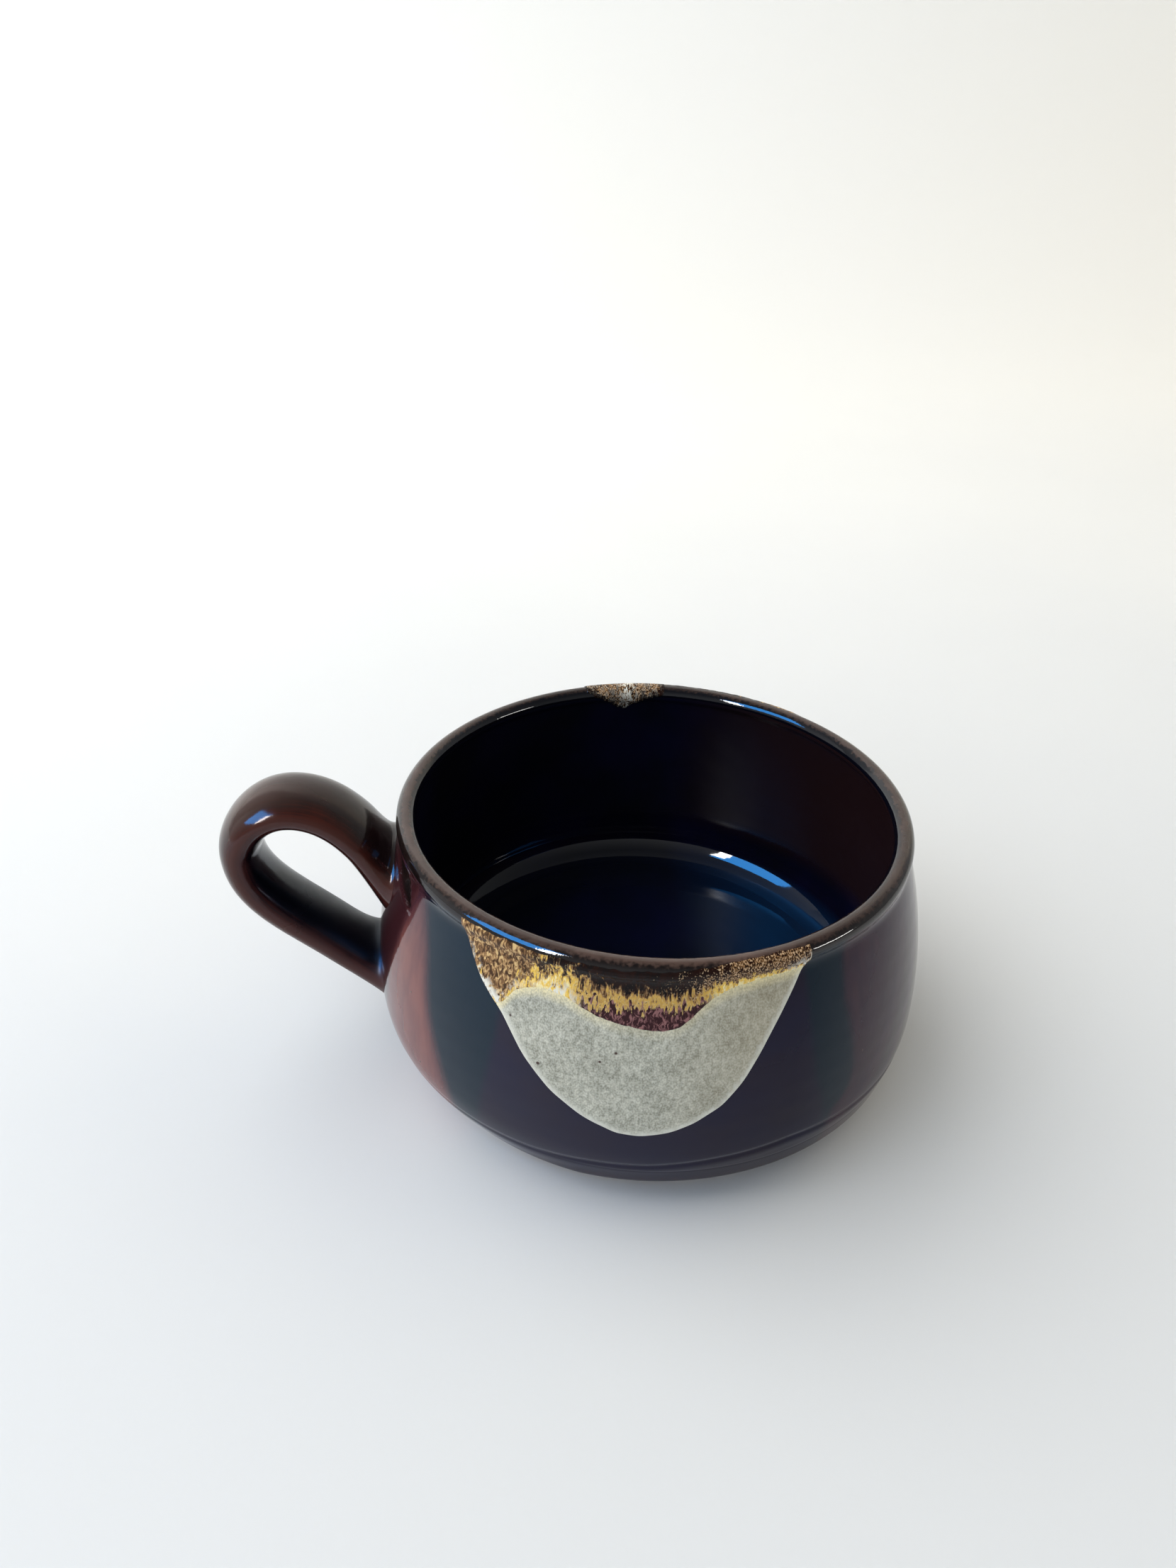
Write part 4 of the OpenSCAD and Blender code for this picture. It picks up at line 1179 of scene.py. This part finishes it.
class SOUPMUG_OT_handle_glaze(SoupMugOperator):
    """Coat the strap and its flared joints"""

    bl_idname = "soup_mug.handle_glaze"
    bl_label = "Handle glaze"

    def execute(self, context):
        bowl, sizes = self.mug.bowl, self.mug.handle
        strap = Strap(Wall(bowl), sizes)
        rings = strap.rings(bowl.glaze_t)
        along = np.linspace(0.0, 1.0, len(rings))[:, None]
        side = np.abs(np.cos(strap.around))[None, :]
        face = np.sin(strap.around)[None, :]
        outer = np.clip(face, 0.0, 1.0)
        ends = np.exp(-along / 0.04) + np.exp(-(1.0 - along) / 0.04)
        # painted sheen: the outer face of the upper arm counts as thin, so it takes the lighter red-brown
        back = 0.45 * outer * (1.0 - along) * climb(along, 0.1, 0.15)
        thin = np.clip(side**4 * 0.9 + back + 0.2 * ends, 0.0, 1.0)
        values = {
            "thin": thin,
            "along": along,
            # inner faces: partly thicker glaze, partly painted shade
            "inner": np.clip(0.3 - 1.5 * face, 0.0, 1.0),
            # painted sheen on the outer bend of the loop
            "outer_sheen": outer**1.5 * bell(along, 0.45, 0.16),
            "across": sizes.strap_w / 2 * np.cos(strap.around)[None, :],
            "through": sizes.strap_t / 2 * face,
        }
        piece = make_piece("strap_glaze", rings, closed=True, values=values)
        hand_in(piece, handle_material("Handle glaze", self.mug.colours), "handle_glaze", "handle_glaze")
        return {"FINISHED"}


class SOUPMUG_OT_half_moons(SoupMugOperator):
    """Dip the front and the back half-moon in the pale glaze"""

    bl_idname = "soup_mug.half_moons"
    bl_label = "Half-moons"

    def execute(self, context):
        dip = self.mug.dip
        front, back = half_moons(Wall(self.mug.bowl), dip)
        material = pale_material("Pale glaze", self.mug.colours)
        hand_in(pale_patch("front_half_moon", front, dip), material, "pale_glaze", "front_pale_glaze")
        hand_in(pale_patch("back_half_moon", back, dip), material, "pale_glaze", "back_pale_glaze")
        return {"FINISHED"}


class SOUPMUG_OT_rim_runs(SoupMugOperator):
    """Let the rim's glaze run down over the half-moons, with a tongue over the back lip"""

    bl_idname = "soup_mug.rim_runs"
    bl_label = "Rim runs"

    def execute(self, context):
        dip = self.mug.dip
        front, back = half_moons(Wall(self.mug.bowl), dip)
        material = run_material("Run glaze", self.mug.colours)
        hand_in(run_patch("front_run", front, dip, FRONT_CREEP), material, "run_glaze", "front_rim_run")
        both = [run_patch("back_run", back, dip, BACK_CREEP), tongue_patch("lip_tongue", back, dip)]
        hand_in(join_pieces("back_run", both), material, "run_glaze", "back_rim_run")
        return {"FINISHED"}


# Floor in metres: half its width, its front edge, start and radius of its bend, and top of the backdrop
FLOOR_HALF, FLOOR_FRONT, BEND_START, BEND_R, BACKDROP_TOP = 2.6, -1.8, 0.62, 0.35, 2.2
# Camera: place in metres, its axes, and lens and film in millimetres
CAMERA_PLACE = (-0.037035, -0.210037, 0.197086)
CAMERA_RIGHT = (0.99556, -0.091656, 0.02143)
CAMERA_UP = (0.030499, 0.529492, 0.847766)
CAMERA_BACK = (-0.08905, -0.843349, 0.529937)
CAMERA_LENS, CAMERA_FILM, CAMERA_NEAR = 26.04, 36.0, 0.01
# Colour of the sky, and height in metres of the point that the lamps face
SKY_COLOUR = (0.95, 0.98, 1.0, 1.0)
LAMP_AIM = 0.04
# Lamps: name, direction and height in degrees, distance and sides in metres, share of the power, and colour
SOFT_LAMPS = (
    ("key", 160, 46, 1.3, (1.6, 1.6), 1.0, (1.0, 0.97, 0.91)),
    ("front_fill", 228, 40, 1.6, (1.6, 1.6), 0.45, (0.80, 0.90, 1.0)),
    ("warm_fill", 15, 40, 1.6, (1.2, 1.2), 0.3, (1.0, 0.82, 0.50)),
)
WINDOWS = (
    ("blue_window", 200, 38, 1.5, (0.85, 0.75), 0.85, (0.04, 0.36, 1.0)),
    ("white_window", 221, 34, 1.5, (0.16, 0.6), 0.36, (1.0, 1.0, 1.0)),
    ("far_window", 335, 10, 1.5, (0.5, 0.12), 0.12, (1.0, 0.98, 0.94)),
)


class SOUPMUG_OT_stage(SoupMugOperator):
    """Set up the pale floor, the soft studio light and the camera"""

    bl_idname = "soup_mug.stage"
    bl_label = "Stage"

    def add_floor(self, stage):
        """A floor that sweeps up into a backdrop."""
        level = np.linspace(FLOOR_FRONT, BEND_START - 0.01, 20)
        a = np.linspace(-math.pi / 2, 0.0, 40)
        x = np.linspace(-FLOOR_HALF, FLOOR_HALF, 12)
        y = np.concatenate([level, BEND_START + BEND_R * np.cos(a), [BEND_START + BEND_R]])
        z = np.concatenate([np.zeros_like(level), BEND_R + BEND_R * np.sin(a), [BACKDROP_TOP]])
        points = np.stack(np.broadcast_arrays(x[None, :], y[:, None], z[:, None]), axis=-1)
        floor = make_piece("floor_sweep", points)
        floor.data.materials.append(floor_material("Pale paper", stage))

    def add_light(self, name, azimuth, elevation, distance, size, share, tint, full_power):
        """An area light that faces the mug."""
        data = bpy.data.lights.new(name, "AREA")
        data.shape = "RECTANGLE"
        data.size, data.size_y = size
        data.energy = share * full_power
        data.color = tint
        lamp = bpy.data.objects.new(name, data)
        a, e = math.radians(azimuth), math.radians(elevation)
        way = Vector((math.cos(e) * math.cos(a), math.cos(e) * math.sin(a), math.sin(e)))
        place = way * distance + Vector((0.0, 0.0, LAMP_AIM))
        lamp.matrix_world = Matrix.Translation(place) @ way.to_track_quat("Z", "Y").to_matrix().to_4x4()
        bpy.context.scene.collection.objects.link(lamp)
        return lamp

    def fall_off(self, world, value, span, strengths):
        """A strength that goes from one value to another along a direction of the sky."""
        node = world.node_tree.nodes.new("ShaderNodeMapRange")
        world.node_tree.links.new(value, node.inputs["Value"])
        set_range(node, *span, *strengths)
        return node.outputs["Result"]

    def add_camera(self):
        """The camera at the photo's viewing angle."""
        data = bpy.data.cameras.new("camera")
        data.sensor_width = CAMERA_FILM
        data.lens = CAMERA_LENS
        data.clip_start = CAMERA_NEAR
        camera = bpy.data.objects.new("camera", data)
        axes = Matrix((CAMERA_RIGHT, CAMERA_UP, CAMERA_BACK)).transposed()
        camera.matrix_world = Matrix.Translation(CAMERA_PLACE) @ axes.to_4x4()
        bpy.context.scene.collection.objects.link(camera)
        bpy.context.scene.camera = camera

    def add_sky(self, stage):
        """Even light that is strongest behind the mug, low down and at the left."""
        world = bpy.data.worlds.new("Studio")
        world.use_nodes = True
        nodes, links = world.node_tree.nodes, world.node_tree.links
        sky = nodes["Background"]
        sky.inputs["Color"].default_value = SKY_COLOUR
        way = nodes.new("ShaderNodeSeparateXYZ")
        links.new(nodes.new("ShaderNodeTexCoord").outputs["Generated"], way.inputs["Vector"])
        back = self.fall_off(world, way.outputs["Y"], (-0.4, 0.7), (0.45 * stage.sky, stage.sky))
        low = self.fall_off(world, way.outputs["Z"], (0.35, 0.9), (1.0, 0.3))
        left = self.fall_off(world, way.outputs["X"], (-0.3, 0.8), (1.0, 0.5))
        strength = back
        for share in (low, left):
            both = nodes.new("ShaderNodeMath")
            both.operation = "MULTIPLY"
            links.new(strength, both.inputs[0])
            links.new(share, both.inputs[1])
            strength = both.outputs["Value"]
        links.new(strength, sky.inputs["Strength"])
        bpy.context.scene.world = world

    def execute(self, context):
        stage = self.mug.stage
        context.scene.view_settings.view_transform = "Standard"
        self.add_sky(stage)
        self.add_floor(stage)
        for lamp in SOFT_LAMPS:
            self.add_light(*lamp, stage.key).visible_glossy = False
        for lamp in WINDOWS:
            self.add_light(*lamp, stage.window).visible_diffuse = False
        self.add_camera()
        return {"FINISHED"}


class SOUPMUG_PT_panel(bpy.types.Panel):
    """Settings and steps of the soup mug"""

    bl_idname = "SOUPMUG_PT_panel"
    bl_label = "Soup Mug"
    bl_space_type = "VIEW_3D"
    bl_region_type = "UI"
    bl_category = "Soup Mug"

    def draw(self, context):
        mug = context.scene.soup_mug
        for group in (mug.bowl, mug.handle, mug.dip, mug.colours, mug.stage):
            box = self.layout.box()
            for key in type(group).__annotations__:
                box.prop(group, key)
        for step in STEPS:
            self.layout.operator(step.bl_idname)


STEPS = (
    SOUPMUG_OT_clay,
    SOUPMUG_OT_outer_glaze,
    SOUPMUG_OT_rim_glaze,
    SOUPMUG_OT_liner_glaze,
    SOUPMUG_OT_handle_glaze,
    SOUPMUG_OT_half_moons,
    SOUPMUG_OT_rim_runs,
    SOUPMUG_OT_stage,
)
GROUPS = (SoupMugBowl, SoupMugHandle, SoupMugDip, SoupMugColours, SoupMugStage, SoupMugSettings)


def register():
    for item in (*GROUPS, *STEPS, SOUPMUG_PT_panel):
        bpy.utils.register_class(item)
    bpy.types.Scene.soup_mug = PointerProperty(type=SoupMugSettings)


def unregister():
    del bpy.types.Scene.soup_mug
    for item in reversed((*GROUPS, *STEPS, SOUPMUG_PT_panel)):
        bpy.utils.unregister_class(item)


def main():
    register()
    bpy.ops.soup_mug.clay()
    bpy.ops.soup_mug.outer_glaze()
    bpy.ops.soup_mug.rim_glaze()
    bpy.ops.soup_mug.liner_glaze()
    bpy.ops.soup_mug.handle_glaze()
    bpy.ops.soup_mug.half_moons()
    bpy.ops.soup_mug.rim_runs()
    bpy.ops.soup_mug.stage()


if __name__ == "__main__":
    main()
